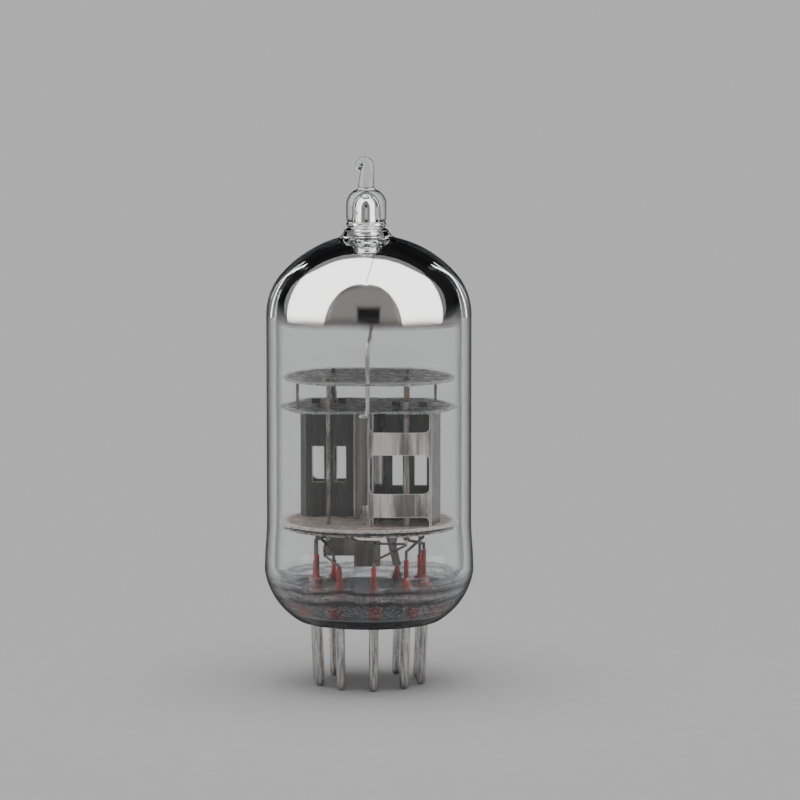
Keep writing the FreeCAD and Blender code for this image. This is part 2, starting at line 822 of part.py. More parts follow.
def grid_winding(triode):
    """Turns of fine wire drawn tight round the side rods, as closed flat loops."""
    body = new_body("grid_winding_" + triode)
    loop = new_sketch(body, "XY_Plane", "grid_loop_" + triode, "winding_low")
    draw_slot(loop, "cathode_x", "cathode_y", "grid_rod_radius", "grid_rod_spacing")
    draw_slot(loop, "cathode_x", "cathode_y", "winding_outer_radius", "grid_rod_spacing")
    turn = pad(body, loop, "winding_wire")
    turns = body.newObject("PartDesign::LinearPattern", "grid_turns_" + triode)
    turns.Originals = [turn]
    turns.Direction = (loop, ["N_Axis"])
    turns.setExpression("Length", "dims.winding_high - dims.winding_low")
    turns.setExpression("Occurrences", "dims.winding_turns")
    body.Tip = turns
    doc.recompute()
    return keep(body)


def heater(triode):
    """A coated hairpin of tungsten wire inside the cathode."""
    body = new_body("heater_" + triode)
    path = new_sketch(body, "YZ_Plane", "hairpin_" + triode, "cathode_x")
    near, far = "cathode_y + heater_leg_spacing", "cathode_y - heater_leg_spacing"
    bend, spacing = "heater_bend_height", "heater_leg_spacing"
    corners = [(near, "heater_low"), (near, bend), ("cathode_y", f"{bend} + {spacing}"),
               (far, bend), (far, "heater_low")]
    draw_path(path, corners, {1: (spacing, 1), 2: (spacing, 1)}, closed=False)
    section = new_sketch(body, "XY_Plane", "heater_section_" + triode, "heater_low")
    draw_circle(section, "cathode_x", near, "heater_wire_radius")
    pipe = body.newObject("PartDesign::AdditivePipe", "heater_wire_" + triode)
    pipe.Profile = section
    pipe.Spine = (path, [])
    doc.recompute()
    return keep(body)


def centre_shield():
    """The plate between the triodes. It stands on two feet that pass the lower micas."""
    body = new_body("centre_shield")
    outline = new_sketch(body, "XZ_Plane", "shield_outline", "0 - half_shield_sheet")
    half, foot = "shield_half_width", "shield_foot_inner"
    low, high = "shield_low", "upper_mica_height"
    corners = [
        (opposite(half), high), (opposite(half), "tab_low"), (opposite(foot), "tab_low"),
        (opposite(foot), low), (foot, low), (foot, "tab_low"), (half, "tab_low"), (half, high),
    ]
    draw_path(outline, corners)
    pad(body, outline, "shield_sheet")
    return keep(body)


# The mount's own frame and the getter


def post(label, x, y, radius, low, height):
    """A plain upright wire."""
    rod = doc.addObject("Part::Cylinder", label)
    rod.Label = label
    rod.setExpression("Radius", formula(radius))
    rod.setExpression("Height", formula(height))
    for axis, place in (("x", x), ("y", y), ("z", low)):
        rod.setExpression("Placement.Base." + axis, formula(place))
    return rod


def support_rods():
    radius, low, height = "rod_radius", "rod_low", "rod_high - rod_low"
    keep(post("support_rod_rear", "rod_x", "rod_y", radius, low, height))
    keep(post("support_rod_front", opposite("rod_x"), opposite("rod_y"), radius, low, height))


def mica_spacers():
    """Two thin wires that hold the top mica above the upper one."""
    x, y, radius = "spacer_x", "spacer_y", "spacer_radius"
    low = "upper_mica_height + mica_thickness"
    height = "top_mica_height - upper_mica_height - mica_thickness"
    pair = [post("spacer_right", x, y, radius, low, height),
            post("spacer_left", opposite(x), opposite(y), radius, low, height)]
    keep(union("mica_spacers", pair))


def rod_clips():
    """Washers pushed onto the support rods above the top mica."""
    body = new_body("rod_clips")
    rings = new_sketch(body, "XY_Plane", "clip_outlines", "top_mica_height + mica_thickness")
    for x, y in (("rod_x", "rod_y"), (opposite("rod_x"), opposite("rod_y"))):
        draw_circle(rings, x, y, "clip_radius")
        draw_circle(rings, x, y, "rod_radius")
    pad(body, rings, "clip_thickness")
    keep(body)


def base_shield():
    """The stepped plate under the micas that screens the leads at the back."""
    body = new_body("base_shield")
    outline = new_sketch(body, "XZ_Plane", "base_shield_outline", opposite("base_shield_y"))
    left, step, right = "base_shield_left", "base_shield_step", "base_shield_right"
    top = "backing_mica_height"
    corners = [
        (left, top), (left, "base_shield_middle"), (step, "base_shield_middle"),
        (step, "base_shield_low"), (right, "base_shield_low"), (right, "base_shield_high"),
        (step, "base_shield_high"), (step, top),
    ]
    draw_path(outline, corners)
    pad(body, outline, "shield_sheet")
    keep(body)


def shield_lead():
    """The flared ribbon from pin 9 up to the shields."""
    body = new_body("shield_lead")
    outline = new_sketch(body, "XZ_Plane", "ribbon_outline", opposite("ribbon_y"))
    corners = [
        ("ribbon_foot_left", "seal_top_9"), ("ribbon_foot_right", "seal_top_9"),
        ("ribbon_waist_right", "ribbon_waist_height"), ("ribbon_top_right", "backing_mica_height"),
        ("ribbon_top_left", "backing_mica_height"), ("ribbon_waist_left", "ribbon_waist_height"),
    ]
    draw_path(outline, corners)
    pad(body, outline, "shield_sheet")
    keep(body)


def getter_ring():
    """The open channel that held the getter metal before it was flashed."""
    body = new_body("getter_ring")
    section = new_sketch(body, "XZ_Plane", "channel_section")
    inner, outer = "getter_ring_inner", "getter_ring_outer"
    sheet, depth = "getter_ring_sheet", "getter_ring_depth"
    corners = [
        (inner, "0"), (outer, "0"), (outer, depth), (f"{outer} - {sheet}", depth),
        (f"{outer} - {sheet}", sheet), (f"{inner} + {sheet}", sheet),
        (f"{inner} + {sheet}", depth), (inner, depth),
    ]
    draw_path(section, corners)
    revolve(body, section)
    for axis, size in (("x", "getter_ring_x"), ("y", "getter_ring_y"), ("z", "getter_ring_height")):
        body.setExpression("Placement.Base." + axis, formula(size))
    keep(body)


def getter_post():
    """The wire that carries the getter ring, from the upper mica's front edge into the dome."""
    x, y = DIMENSIONS["getter_post_x"], DIMENSIONS["getter_post_y"]
    radius = DIMENSIONS["getter_post_radius"]
    ring_x = DIMENSIONS["getter_ring_x"]
    reach = DIMENSIONS["getter_ring_outer"] + radius + 0.01
    ring_y = DIMENSIONS["getter_ring_y"] - reach
    low = DIMENSIONS["upper_mica_height"]
    high = DIMENSIONS["getter_ring_height"]
    route = [Vector(x - 0.6, y - 0.05, low - 0.35), Vector(x, y, low - 0.3), Vector(x, y, high - 4.4),
             Vector(ring_x, (y + ring_y) / 2, high - 3.0), Vector(ring_x, ring_y, high + 0.6)]
    keep(chain("getter_post", route, radius))


# Leads between the stem and the mount


def seal_end(number):
    point = pin_direction(number) * DIMENSIONS["pin_circle_radius"]
    point.z = DIMENSIONS[f"seal_top_{number}"]
    return point


def lead(label, number, route, radius="lead_radius"):
    """A wire from a seal lead's end through the points of its route."""
    size = DIMENSIONS[radius]
    start = seal_end(number) + Vector(0, 0, size)
    keep(chain(label, [start] + route, size))


def leads():
    """Each lead ends just beside or under what it is welded to."""
    x, y = DIMENSIONS["cathode_x"], DIMENSIONS["cathode_y"]
    wire = DIMENSIONS["lead_radius"]
    under = DIMENSIONS["backing_mica_height"] - wire - 0.05
    tab = Vector(DIMENSIONS["right_tab"] + 0.5, (DIMENSIONS["wall_end_y"] + DIMENSIONS["back_y"]) / 2,
                 DIMENSIONS["tab_low"] - wire)
    side = DIMENSIONS["cathode_half_width"] + wire + 0.01
    rod_end = Vector(x, y + DIMENSIONS["grid_rod_spacing"], DIMENSIONS["grid_low"] - wire)
    for triode, turn, anode_pin, grid_pin, cathode_pin in (("a", 1, 6, 7, 8), ("b", -1, 1, 2, 3)):
        anode_end = Vector(tab.x * turn, tab.y * turn, tab.z)
        foot = seal_end(anode_pin)
        lead("anode_lead_" + triode, anode_pin,
             [foot + Vector(0, 0, 0.9), Vector(anode_end.x, anode_end.y, anode_end.z - 0.4), anode_end])
        grid_end = Vector(rod_end.x * turn, rod_end.y * turn, rod_end.z)
        foot = seal_end(grid_pin)
        bend = Vector(foot.x, foot.y, rod_end.z - 0.8)
        lead("grid_lead_" + triode, grid_pin, [bend, grid_end - Vector(0, 0, 0.25), grid_end])
        foot = seal_end(cathode_pin)
        sleeve = Vector((x + side) * turn, y * turn, under)
        lead("cathode_lead_" + triode, cathode_pin, [Vector(foot.x, foot.y, under), sleeve])
    thin = DIMENSIONS["heater_lead_radius"]
    leg = DIMENSIONS["heater_leg_spacing"]
    low = DIMENSIONS["heater_low"] - thin
    foot = seal_end(5)
    lead("heater_lead_right", 5, [foot + Vector(0.1, 0.2, 0.7), Vector(x, y - leg, low)],
         "heater_lead_radius")
    lead("heater_lead_left", 4, [Vector(-4.7, -1.5, 13.9), Vector(-4.9, 1.9, 14.4),
                                 Vector(-x, -y + leg, low)], "heater_lead_radius")
    keep(chain("heater_link", [Vector(x, y + leg, low), Vector(0.9, -0.9, low - 0.3),
                               Vector(-0.9, 0.9, low - 0.3), Vector(-x, -y - leg, low)], thin))


def check_document():
    """Stops if anything failed to build."""
    doc.recompute()
    for node in doc.Objects:
        if "Invalid" in node.State or "Error" in node.State:
            raise RuntimeError(f"{node.Label} failed: {node.State}")
    for node in finished:
        if node.Shape.isNull() or not node.Shape.isValid():
            raise RuntimeError(f"{node.Label} has no valid shape")


def write_steps():
    os.makedirs("parts", exist_ok=True)
    for node in finished:
        node.Shape.exportStep(f"parts/{node.Label}.step")
        box = node.Shape.BoundBox
        print(f"{node.Label:22s} {len(node.Shape.Solids):3d} solids  {node.Shape.Volume:9.3f} mm3  "
              f"z {box.ZMin:6.2f} to {box.ZMax:6.2f}")


def main():
    fill_sheet()
    glass_bulb()
    exhaust_tip()
    getter_flash()
    pins = [pin(number) for number in range(1, PIN_COUNT + 1)]
    seals = [seal_lead(number) for number in range(1, PIN_COUNT + 1)]
    stem_button(pins + seals)
    round_mica("lower_mica", "lower_mica_height", "lower_mica_radius")
    round_mica("lower_mica_backing", "backing_mica_height", "backing_mica_radius")
    upper_mica()
    top_mica()
    for triode in ("a", "b"):
        for piece in (anode_front, anode_back, cathode, grid_rods, grid_winding, heater):
            node = piece(triode)
            if triode == "b":
                half_turn(node)
    centre_shield()
    support_rods()
    mica_spacers()
    rod_clips()
    base_shield()
    shield_lead()
    getter_ring()
    getter_post()
    leads()
    check_document()
    write_steps()


main()
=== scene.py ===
"""Looks for the nine-pin vacuum tube: blown glass, getter mirror, mica, nickel and wire.

Sizes are in millimetres and become metres through MM, apart from the stage's, which are in metres.
+Z is up, and the camera looks along +Y.
"""

import math
import random

import bmesh
import bpy
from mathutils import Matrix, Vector
from mathutils.geometry import delaunay_2d_cdt


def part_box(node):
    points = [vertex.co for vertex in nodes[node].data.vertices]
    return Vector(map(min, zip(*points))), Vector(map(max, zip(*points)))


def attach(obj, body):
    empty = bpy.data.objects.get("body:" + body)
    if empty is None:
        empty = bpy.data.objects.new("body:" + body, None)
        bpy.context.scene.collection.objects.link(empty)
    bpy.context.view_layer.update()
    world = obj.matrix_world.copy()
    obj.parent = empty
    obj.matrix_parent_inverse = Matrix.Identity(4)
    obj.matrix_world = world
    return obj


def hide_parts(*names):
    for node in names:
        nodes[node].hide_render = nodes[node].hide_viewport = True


MM = 0.001
ROUND = 160                            # segments round the glass
PINS = 9
PIN_CIRCLE = 5.945
FIRST_PIN_ANGLE = 221.0
PIN_STEP = 36.0
BOSS_HEIGHT = 1.3                      # the glass drawn up round each lead
BOSS_RADIUS = 1.12
# The glass, as radii and heights about the axis, or (radius, height)
BASE = (7.6, 6.9)                      # the foot of the joint between the bulb and the stem
FLOOR_EDGE = (8.3, 9.7)                # the top of that joint
BASE_CURVE = 7.4
BULGE = 11.12                          # the soft swelling over the base
BULGE_LOW, BULGE_HIGH = 12.0, 12.9
BULGE_CURVE = 3.4
SIDE = 10.9                            # the straight wall
SIDE_LOW = 17.5
WALL = 1.0                             # thickness
INNER_BULGE_HIGH = 13.2
INNER_BASE_CURVE = 3.9
SHOULDER = 39.6
SHOULDER_CURVE = 6.5
CROWN_CURVE = 12.34
CROWN_TOP = 48.1
CROWN_CENTRE = CROWN_TOP - CROWN_CURVE
CORNER = SIDE - SHOULDER_CURVE
INNER_SHOULDER = 38.9
NECK = 2.35
NECK_TOP = 48.5
NECK_FOOT = 3.4
NECK_CURVE = 1.3
THROAT = ((1.3, 47.03), (0.95, 47.2), (0.9, 47.5), (1.3, 47.95), (1.12, 48.3), (1.2, 48.5))
# The exhaust tip, whose axis is beside the bulb's
TIP_OFFSET = -0.27
LEAN_START = 46.5                      # where the crown begins to follow the tip aside
COLLAR_BENDS = (((1.95, 48.82), 4), ((2.15, 49.15), 4), ((2.02, 49.4), 3), ((2.13, 49.8), 4))
BODY_TOP = (2.13, 51.5)
BODY_CURVE = 1.75
STUB_FOOT = (1.0, 52.85)
STUB_CURVE = 0.6
# The stub's centre line and radius, as (aside, height, radius)
STUB = ((0, 53.2, 0.84), (0.03, 54.0, 0.78), (0.13, 54.9, 0.72), (0.06, 55.55, 0.68),
        (-0.3, 55.78, 0.52), (-0.66, 55.55, 0.46), (-0.74, 55.2, 0.42))
COLLAR = ((1.2, 48.5), (1.28, 48.7), (0.96, 49.1), (1.02, 49.5))
BORE = 0.98
BORE_TOP = 51.0
# The metal film inside the glass
FILM_EDGE = 38.71
FILM_GAP = 0.01
FILM_THICKNESS = 0.03
# The electrodes, as (x, y) of the one on the right. The other is half a turn round the axis.
ROD = (4.2, 4.0)
CATHODE = (3.9, -3.8)
GRID_SPREAD = 1.55
GRID_LOW = 18.95
GRID_HEIGHT = 9.8
GRID_TURNS = 62
MICA_THICKNESS = 0.25

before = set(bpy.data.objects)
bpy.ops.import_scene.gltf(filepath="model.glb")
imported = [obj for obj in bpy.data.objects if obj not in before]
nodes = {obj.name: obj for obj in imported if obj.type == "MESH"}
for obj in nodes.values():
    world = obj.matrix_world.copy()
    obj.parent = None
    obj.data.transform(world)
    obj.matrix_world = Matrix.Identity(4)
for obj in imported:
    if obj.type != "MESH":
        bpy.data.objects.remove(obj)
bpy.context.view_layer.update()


# Node trees


class Nodes:
    """A node tree, with short calls for the nodes that it needs."""

    def __init__(self, tree):
        self.tree = tree

    def add(self, kind, **settings):
        node = self.tree.nodes.new(kind)
        for key, value in settings.items():
            setattr(node, key, value)
        return node

    def link(self, source, target):
        self.tree.links.new(source, target)

    def ramp(self, source, stops):
        """stops is a list of (position, colour)."""
        node = self.add("ShaderNodeValToRGB")
        while len(node.color_ramp.elements) < len(stops):
            node.color_ramp.elements.new(0.5)
        for element, (position, colour) in zip(node.color_ramp.elements, stops):
            element.position = position
            element.color = (*colour, 1)
        self.link(source, node.inputs["Fac"])
        return node.outputs["Color"]

    def mixed(self, factor, first, second):
        """Two colour sockets mixed by a factor socket."""
        node = self.add("ShaderNodeMix", data_type="RGBA")
        self.link(factor, node.inputs["Factor"])
        for value, socket in ((first, node.inputs["A"]), (second, node.inputs["B"])):
            if isinstance(value, tuple):
                socket.default_value = (*value, 1)
            else:
                self.link(value, socket)
        return node.outputs["Result"]

    def maths(self, operation, *values):
        node = self.add("ShaderNodeMath", operation=operation)
        for socket, value in zip(node.inputs, values):
            if isinstance(value, (int, float)):
                socket.default_value = value
            else:
                self.link(value, socket)
        return node.outputs["Value"]

    def step(self, value, low, high):
        """0 below low and 1 above high, with a smooth rise between."""
        node = self.add("ShaderNodeMapRange", interpolation_type="SMOOTHSTEP")
        self.link(value, node.inputs["Value"])
        node.inputs["From Min"].default_value = low
        node.inputs["From Max"].default_value = high
        return node.outputs["Result"]

    def band(self, value, middle, half):
        """1 at the middle, falling to 0 half a band away."""
        away = self.maths("ABSOLUTE", self.maths("SUBTRACT", value, middle))
        return self.maths("SUBTRACT", 1.0, self.step(away, 0.0, half))


class Surface(Nodes):
    """A material. Its noises and distances are in the tube's own millimetres."""

    def __init__(self, name, **values):
        self.material = bpy.data.materials.new(name)
        self.material.use_nodes = True
        super().__init__(self.material.node_tree)
        self.shader = self.tree.nodes["Principled BSDF"]
        self.place = self.add("ShaderNodeTexCoord").outputs["Object"]
        for key, value in values.items():
            self.shader.inputs[key.replace("_", " ")].default_value = value

    def stretched(self, scale):
        """Object coordinates in millimetres, scaled along each axis."""
        mapping = self.add("ShaderNodeMapping")
        self.link(self.place, mapping.inputs["Vector"])
        mapping.inputs["Scale"].default_value = [s / MM for s in scale]
        return mapping.outputs["Vector"]

    def noise(self, scale, detail, rough=0.55):
        node = self.add("ShaderNodeTexNoise")
        self.link(self.stretched(scale), node.inputs["Vector"])
        node.inputs["Scale"].default_value = 1.0
        node.inputs["Detail"].default_value = detail
        node.inputs["Roughness"].default_value = rough
        return node.outputs["Fac"]

    def axis(self, letter):
        """One object coordinate, in millimetres."""
        parts = self.add("ShaderNodeSeparateXYZ")
        self.link(self.place, parts.inputs["Vector"])
        return self.maths("DIVIDE", parts.outputs[letter], MM)

    def radius(self):
        """The distance from the tube's axis, in millimetres."""
        x, y = self.axis("X"), self.axis("Y")
        squares = self.maths("ADD", self.maths("MULTIPLY", x, x), self.maths("MULTIPLY", y, y))
        return self.maths("SQRT", squares)

    def colour(self, socket):
        self.link(socket, self.shader.inputs["Base Color"])

    def roughness(self, source, low, high):
        node = self.add("ShaderNodeMapRange")
        self.link(source, node.inputs["Value"])
        node.inputs["To Min"].default_value = low
        node.inputs["To Max"].default_value = high
        self.link(node.outputs["Result"], self.shader.inputs["Roughness"])

    def edges(self, width):
        """1 at the sheet's cut edges and 0 on its flat faces."""
        bevel = self.add("ShaderNodeBevel", samples=6)
        bevel.inputs["Radius"].default_value = width * MM
        dot = self.add("ShaderNodeVectorMath", operation="DOT_PRODUCT")
        self.link(bevel.outputs["Normal"], dot.inputs[0])
        self.link(self.add("ShaderNodeNewGeometry").outputs["Normal"], dot.inputs[1])
        return self.maths("SUBTRACT", 1.0, self.step(dot.outputs["Value"], 0.80, 0.97))

    def bump(self, height, depth):
        """Raises the surface by depth millimetres where height is 1."""
        node = self.add("ShaderNodeBump")
        node.inputs["Distance"].default_value = depth * MM
        self.link(height, node.inputs["Height"])
        self.link(node.outputs["Normal"], self.shader.inputs["Normal"])

    def painted_edge_shade(self, low=0.58, high=0.86):
        """Painted shade where the glass is seen edge on: a dark see-through colour mixed in, standing in
        for the dark outline such edges show and in part for the thicker path through the glass.
        """
        facing = self.add("ShaderNodeLayerWeight").outputs["Facing"]
        # The painted shade: a dark see-through colour at the edges
        painted_shade = self.add("ShaderNodeBsdfTransparent")
        painted_shade.inputs["Color"].default_value = (0.10, 0.105, 0.11, 1)
        mix = self.add("ShaderNodeMixShader")
        self.link(self.maths("MULTIPLY", self.step(facing, low, high), 0.85), mix.inputs["Fac"])
        self.link(self.shader.outputs["BSDF"], mix.inputs[1])
        self.link(painted_shade.outputs["BSDF"], mix.inputs[2])
        self.link(mix.outputs["Shader"], self.tree.nodes["Material Output"].inputs["Surface"])

    def open_where(self, clear):
        """Lets what is behind show through where clear is 1."""
        mix = self.add("ShaderNodeMixShader")
        self.link(clear, mix.inputs["Fac"])
        self.link(self.shader.outputs["BSDF"], mix.inputs[1])
        self.link(self.add("ShaderNodeBsdfTransparent").outputs["BSDF"], mix.inputs[2])
        output = self.tree.nodes["Material Output"]
        self.link(mix.outputs["Shader"], output.inputs["Surface"])


def tip_glass():
    made = Surface("tip_glass", Base_Color=(0.96, 0.965, 0.97, 1), Transmission_Weight=1.0, IOR=1.5,
                   Roughness=0.0)
    # Painted shade where the tip's glass is seen edge on
    made.painted_edge_shade(0.42, 0.78)
    made.bump(made.noise((0.8, 0.8, 0.5), 2.0), 0.012)
    return made.material


def stem_glass():
    """Thick pressed glass with a grey tint, uneven on top, with painted shade that makes it black
    underneath.
    """
    made = Surface("stem_glass", Transmission_Weight=1.0, IOR=1.5, Roughness=0.0,
                   Specular_IOR_Level=1.0)
    # Painted shade where the stem's glass is seen edge on
    made.painted_edge_shade()
    above_foot = made.step(made.axis("Z"), 6.95, 7.4)
    # Painted shade: black under the foot; above it the glass's own grey tint
    made.colour(made.mixed(above_foot, (0.03, 0.03, 0.035), (0.76, 0.77, 0.78)))
    made.bump(made.noise((1.1, 1.1, 1.6), 3.0), 0.12)
    return made.material


def bulb_glass():
    """Clear glass, rippled and flecked round the base where it was melted to the stem, with two dark
    wavy bands there. Painted shade greys it towards its foot and makes it black and opaque at the foot.
    """
    made = Surface("bulb_glass", Transmission_Weight=1.0, IOR=1.5, Roughness=0.0)
    # Painted shade where the bulb's glass is seen edge on
    made.painted_edge_shade()
    height = made.axis("Z")
    melted = made.maths("SUBTRACT", 1.0, made.step(height, 9.8, 13.2))
    ripple = made.maths("MULTIPLY", made.noise((0.35, 0.35, 1.5), 3.0), 1.6)
    grain = made.maths("MULTIPLY", made.noise((2.4, 2.4, 3.2), 4.0, 0.7), 0.35)
    faint = made.maths("MULTIPLY", made.noise((0.25, 0.25, 0.12), 2.0), 0.05)
    rough = made.maths("MULTIPLY", melted, made.maths("ADD", ripple, grain))
    made.bump(made.maths("ADD", rough, faint), 0.22)
    wavy = made.maths("MULTIPLY_ADD", made.noise((0.18, 0.18, 0.1), 2.0), 1.4, height)
    line = made.maths("MAXIMUM", made.band(wavy, 10.7, 0.5), made.band(wavy, 11.9, 0.35))
    # Painted shade: black, nearly opaque glass at the foot
    foot = made.maths("SUBTRACT", 1.0, made.step(height, 7.85, 8.2))
    flecks = made.step(made.noise((3.6, 3.6, 6.0), 5.0, 0.75), 0.52, 0.62)
    above_foot = made.maths("MULTIPLY", melted, made.step(height, 8.1, 8.7))
    speckle = made.maths("MULTIPLY", made.maths("MULTIPLY", above_foot, flecks), 0.5)
    solid = made.maths("MAXIMUM", speckle, made.maths("MULTIPLY", foot, 0.9))
    made.link(made.maths("SUBTRACT", 1.0, solid), made.shader.inputs["Transmission Weight"])
    dark = made.maths("MAXIMUM", made.maths("MULTIPLY", line, 0.85), foot)
    # Painted shade: greyer towards the foot
    painted_shade = made.maths("MULTIPLY", made.maths("SUBTRACT", 1.0, made.step(height, 8.8, 10.6)), 0.5)
    clear = made.mixed(made.maths("MAXIMUM", speckle, painted_shade), (0.985, 0.99, 0.99), (0.38, 0.39, 0.40))
    made.colour(made.mixed(dark, clear, (0.03, 0.03, 0.033)))
    return made.material


def seam():
    """The joint between two pieces of glass that are melted together, which can't be seen."""
    made = Surface("glass_seam")
    output = made.tree.nodes["Material Output"]
    made.link(made.add("ShaderNodeBsdfTransparent").outputs["BSDF"], output.inputs["Surface"])
    return made.material


def getter_mirror():
    """Bright metal on the dome, thinning to a brown haze and then to nothing at its lower edge."""
    made = Surface("getter_mirror", Metallic=1.0)
    wobble = made.maths("SUBTRACT", made.noise((0.14, 0.14, 0.05), 3.0), 0.5)
    level = made.maths("SUBTRACT", made.axis("Z"), made.maths("MULTIPLY", wobble, 1.4))
    made.colour(made.ramp(made.step(level, 38.3, 40.4), [(0.0, (0.05, 0.034, 0.026)),
                                                        (0.45, (0.14, 0.105, 0.09)),
                                                        (0.7, (0.70, 0.66, 0.63)),
                                                        (1.0, (0.93, 0.91, 0.90))]))
    made.roughness(made.noise((0.2, 0.2, 0.2), 3.0), 0.03, 0.07)
    made.open_where(made.maths("SUBTRACT", 1.0, made.step(level, 38.4, 40.0)))
    return made.material


def nickel(name, dark, light, rough=(0.24, 0.42), edge=None, wall=None):
    """Rolled sheet with broad and fine streaks along the roll, faint stains and specks of oxide.

    Beyond the wall's distance from the middle the sheet gets a duller, darker golden grey: painted shade
    on the anode's side walls. Where edge is given, the cut edges take that pale colour with little
    metal: a painted highlight.
    """
    made = Surface(name, Metallic=1.0)
    broad = made.step(made.noise((0.9, 0.9, 0.07), 2.0), 0.36, 0.64)
    fine = made.step(made.noise((9.0, 9.0, 0.35), 4.0), 0.2, 0.8)
    streaks = made.maths("ADD", made.maths("MULTIPLY", broad, 0.8), made.maths("MULTIPLY", fine, 0.2))
    stain = made.noise((0.35, 0.35, 0.22), 3.0)
    speckle = made.noise((16.0, 16.0, 16.0), 1.0)
    base = made.mixed(streaks, dark, light)
    stains_and_shade = made.mixed(made.step(stain, 0.55, 0.8), base, tuple(c * 0.8 for c in dark))
    if wall:
        # Painted shade: the side walls past this distance get a darker golden grey
        shaded_side = made.step(made.maths("ABSOLUTE", made.axis("X")), wall - 0.1, wall + 0.1)
        stains_and_shade = made.mixed(shaded_side, stains_and_shade, (0.15, 0.135, 0.10))
    specks_and_highlight = made.mixed(made.step(speckle, 0.66, 0.78), stains_and_shade, tuple(c * 0.5 for c in dark))
    if edge:
        # Painted highlight: the cut edges get the pale edge colour and lose most of their metal
        cut = made.edges(0.2)
        specks_and_highlight = made.mixed(cut, specks_and_highlight, edge)
        made.link(made.maths("MULTIPLY_ADD", cut, -0.8, 1.0), made.shader.inputs["Metallic"])
    made.colour(specks_and_highlight)
    made.roughness(fine, *rough)
    made.bump(fine, 0.002)
    return made.material


def drawn_wire(name, dark, light, rough=(0.2, 0.4)):
    """Drawn wire, with lines along it and dull patches."""
    made = Surface(name, Metallic=1.0)
    lines = made.step(made.noise((14.0, 14.0, 0.5), 3.0), 0.35, 0.65)
    patches = made.step(made.noise((1.1, 1.1, 0.6), 3.0), 0.3, 0.6)
    made.colour(made.mixed(made.maths("MULTIPLY", lines, patches), dark, light))
    made.roughness(patches, *rough)
    made.bump(lines, 0.008)
    return made.material


def pin_metal():
    """Plated pins, scratched along their length by a socket and dull in patches."""
    made = Surface("pin_metal", Metallic=1.0)
    scratches = made.step(made.noise((6.0, 6.0, 0.5), 3.0), 0.25, 0.75)
    pits = made.noise((6.0, 6.0, 4.0), 4.0, 0.7)
    base = made.mixed(scratches, (0.24, 0.234, 0.225), (0.80, 0.79, 0.77))
    made.colour(made.mixed(made.step(pits, 0.52, 0.76), base, (0.12, 0.115, 0.108)))
    made.roughness(pits, 0.08, 0.3)
    made.bump(made.maths("ADD", scratches, made.step(pits, 0.45, 0.65)), 0.005)
    return made.material


def red_copper():
    """Copper cladding, turned red where it was sealed into the glass."""
    made = Surface("red_copper", Metallic=0.25, Coat_Weight=0.3, Coat_Roughness=0.08)
    patches = made.noise((1.6, 1.6, 0.9), 3.0)
    red = made.ramp(patches, [(0.3, (0.09, 0.001, 0.002)), (0.5, (0.26, 0.004, 0.004)),
                              (0.7, (0.58, 0.045, 0.012))])
    made.colour(made.mixed(made.step(made.axis("Z"), 8.6, 9.6), (0.05, 0.001, 0.002), red))
    made.roughness(patches, 0.25, 0.5)
    made.bump(patches, 0.05)
    return made.material


def coated_mica():
    """Mica sprayed with a chalky powder, pinkish on its face and white and ragged at its edge."""
    made = Surface("coated_mica")
    grain = made.noise((5.0, 5.0, 5.0), 4.0, 0.65)
    patches = made.noise((0.5, 0.5, 0.5), 3.0)
    face = made.mixed(made.step(patches, 0.35, 0.65), (0.10, 0.068, 0.055), (0.24, 0.18, 0.15))
    speckled = made.mixed(made.step(grain, 0.5, 0.66), face, (0.42, 0.37, 0.33))
    rim = made.step(made.maths("ADD", made.radius(), grain), 9.0, 9.7)
    chalky = made.mixed(made.step(grain, 0.36, 0.56), (0.26, 0.22, 0.20), (0.70, 0.67, 0.64))
    made.colour(made.mixed(rim, speckled, chalky))
    made.roughness(grain, 0.65, 0.95)
    made.bump(grain, 0.08)
    return made.material


def clear_mica():
    """Flaky see-through mica, greyer where the flakes part and frosted at its edge."""
    made = Surface("clear_mica", Specular_IOR_Level=0.7)
    flakes = made.noise((0.9, 0.9, 3.0), 5.0, 0.7)
    fine = made.noise((7.0, 7.0, 7.0), 3.0)
    tone = made.ramp(flakes, [(0.38, (0.06, 0.054, 0.05)), (0.5, (0.17, 0.16, 0.155)),
                              (0.6, (0.52, 0.52, 0.525))])
    depth = made.maths("ABSOLUTE", made.axis("Y"))
    edge = made.maths("MAXIMUM", made.step(made.radius(), 8.2, 8.9), made.step(depth, 5.6, 6.7))
    frosted = made.mixed(made.step(fine, 0.40, 0.60), (0.10, 0.10, 0.103), (0.64, 0.64, 0.645))
    made.colour(made.mixed(edge, tone, frosted))
    made.roughness(flakes, 0.15, 0.5)
    made.bump(fine, 0.04)
    haze = made.step(made.maths("ADD", flakes, made.maths("MULTIPLY", fine, 0.35)), 0.45, 0.85)
    solid = made.maths("MAXIMUM", made.maths("MULTIPLY_ADD", haze, 0.45, 0.25),
                       made.maths("MULTIPLY", edge, 0.9))
    made.open_where(made.maths("SUBTRACT", 1.0, solid))
    return made.material


def chalk(name, dark, light):
    """A baked white coat, as on heater wire."""
    made = Surface(name)
    grain = made.noise((12.0, 12.0, 12.0), 3.0)
    made.colour(made.mixed(grain, dark, light))
    made.roughness(grain, 0.7, 0.95)
    made.bump(grain, 0.03)
    return made.material


def pale_floor():
    made = Surface("pale_floor", Roughness=0.9, Specular_IOR_Level=0.0)
    grain = made.noise((0.35, 0.35, 0.35), 3.0)
    made.colour(made.mixed(grain, (0.50, 0.50, 0.51), (0.54, 0.54, 0.55)))
    return made.material


def tent_glow():
    made = Surface("tent_glow", Roughness=1.0, Specular_IOR_Level=0.0, Emission_Strength=TENT_GLOW)
    made.shader.inputs["Base Color"].default_value = (0, 0, 0, 1)
    made.shader.inputs["Emission Color"].default_value = (1, 1, 1, 1)
    return made.material


# Curves and skins


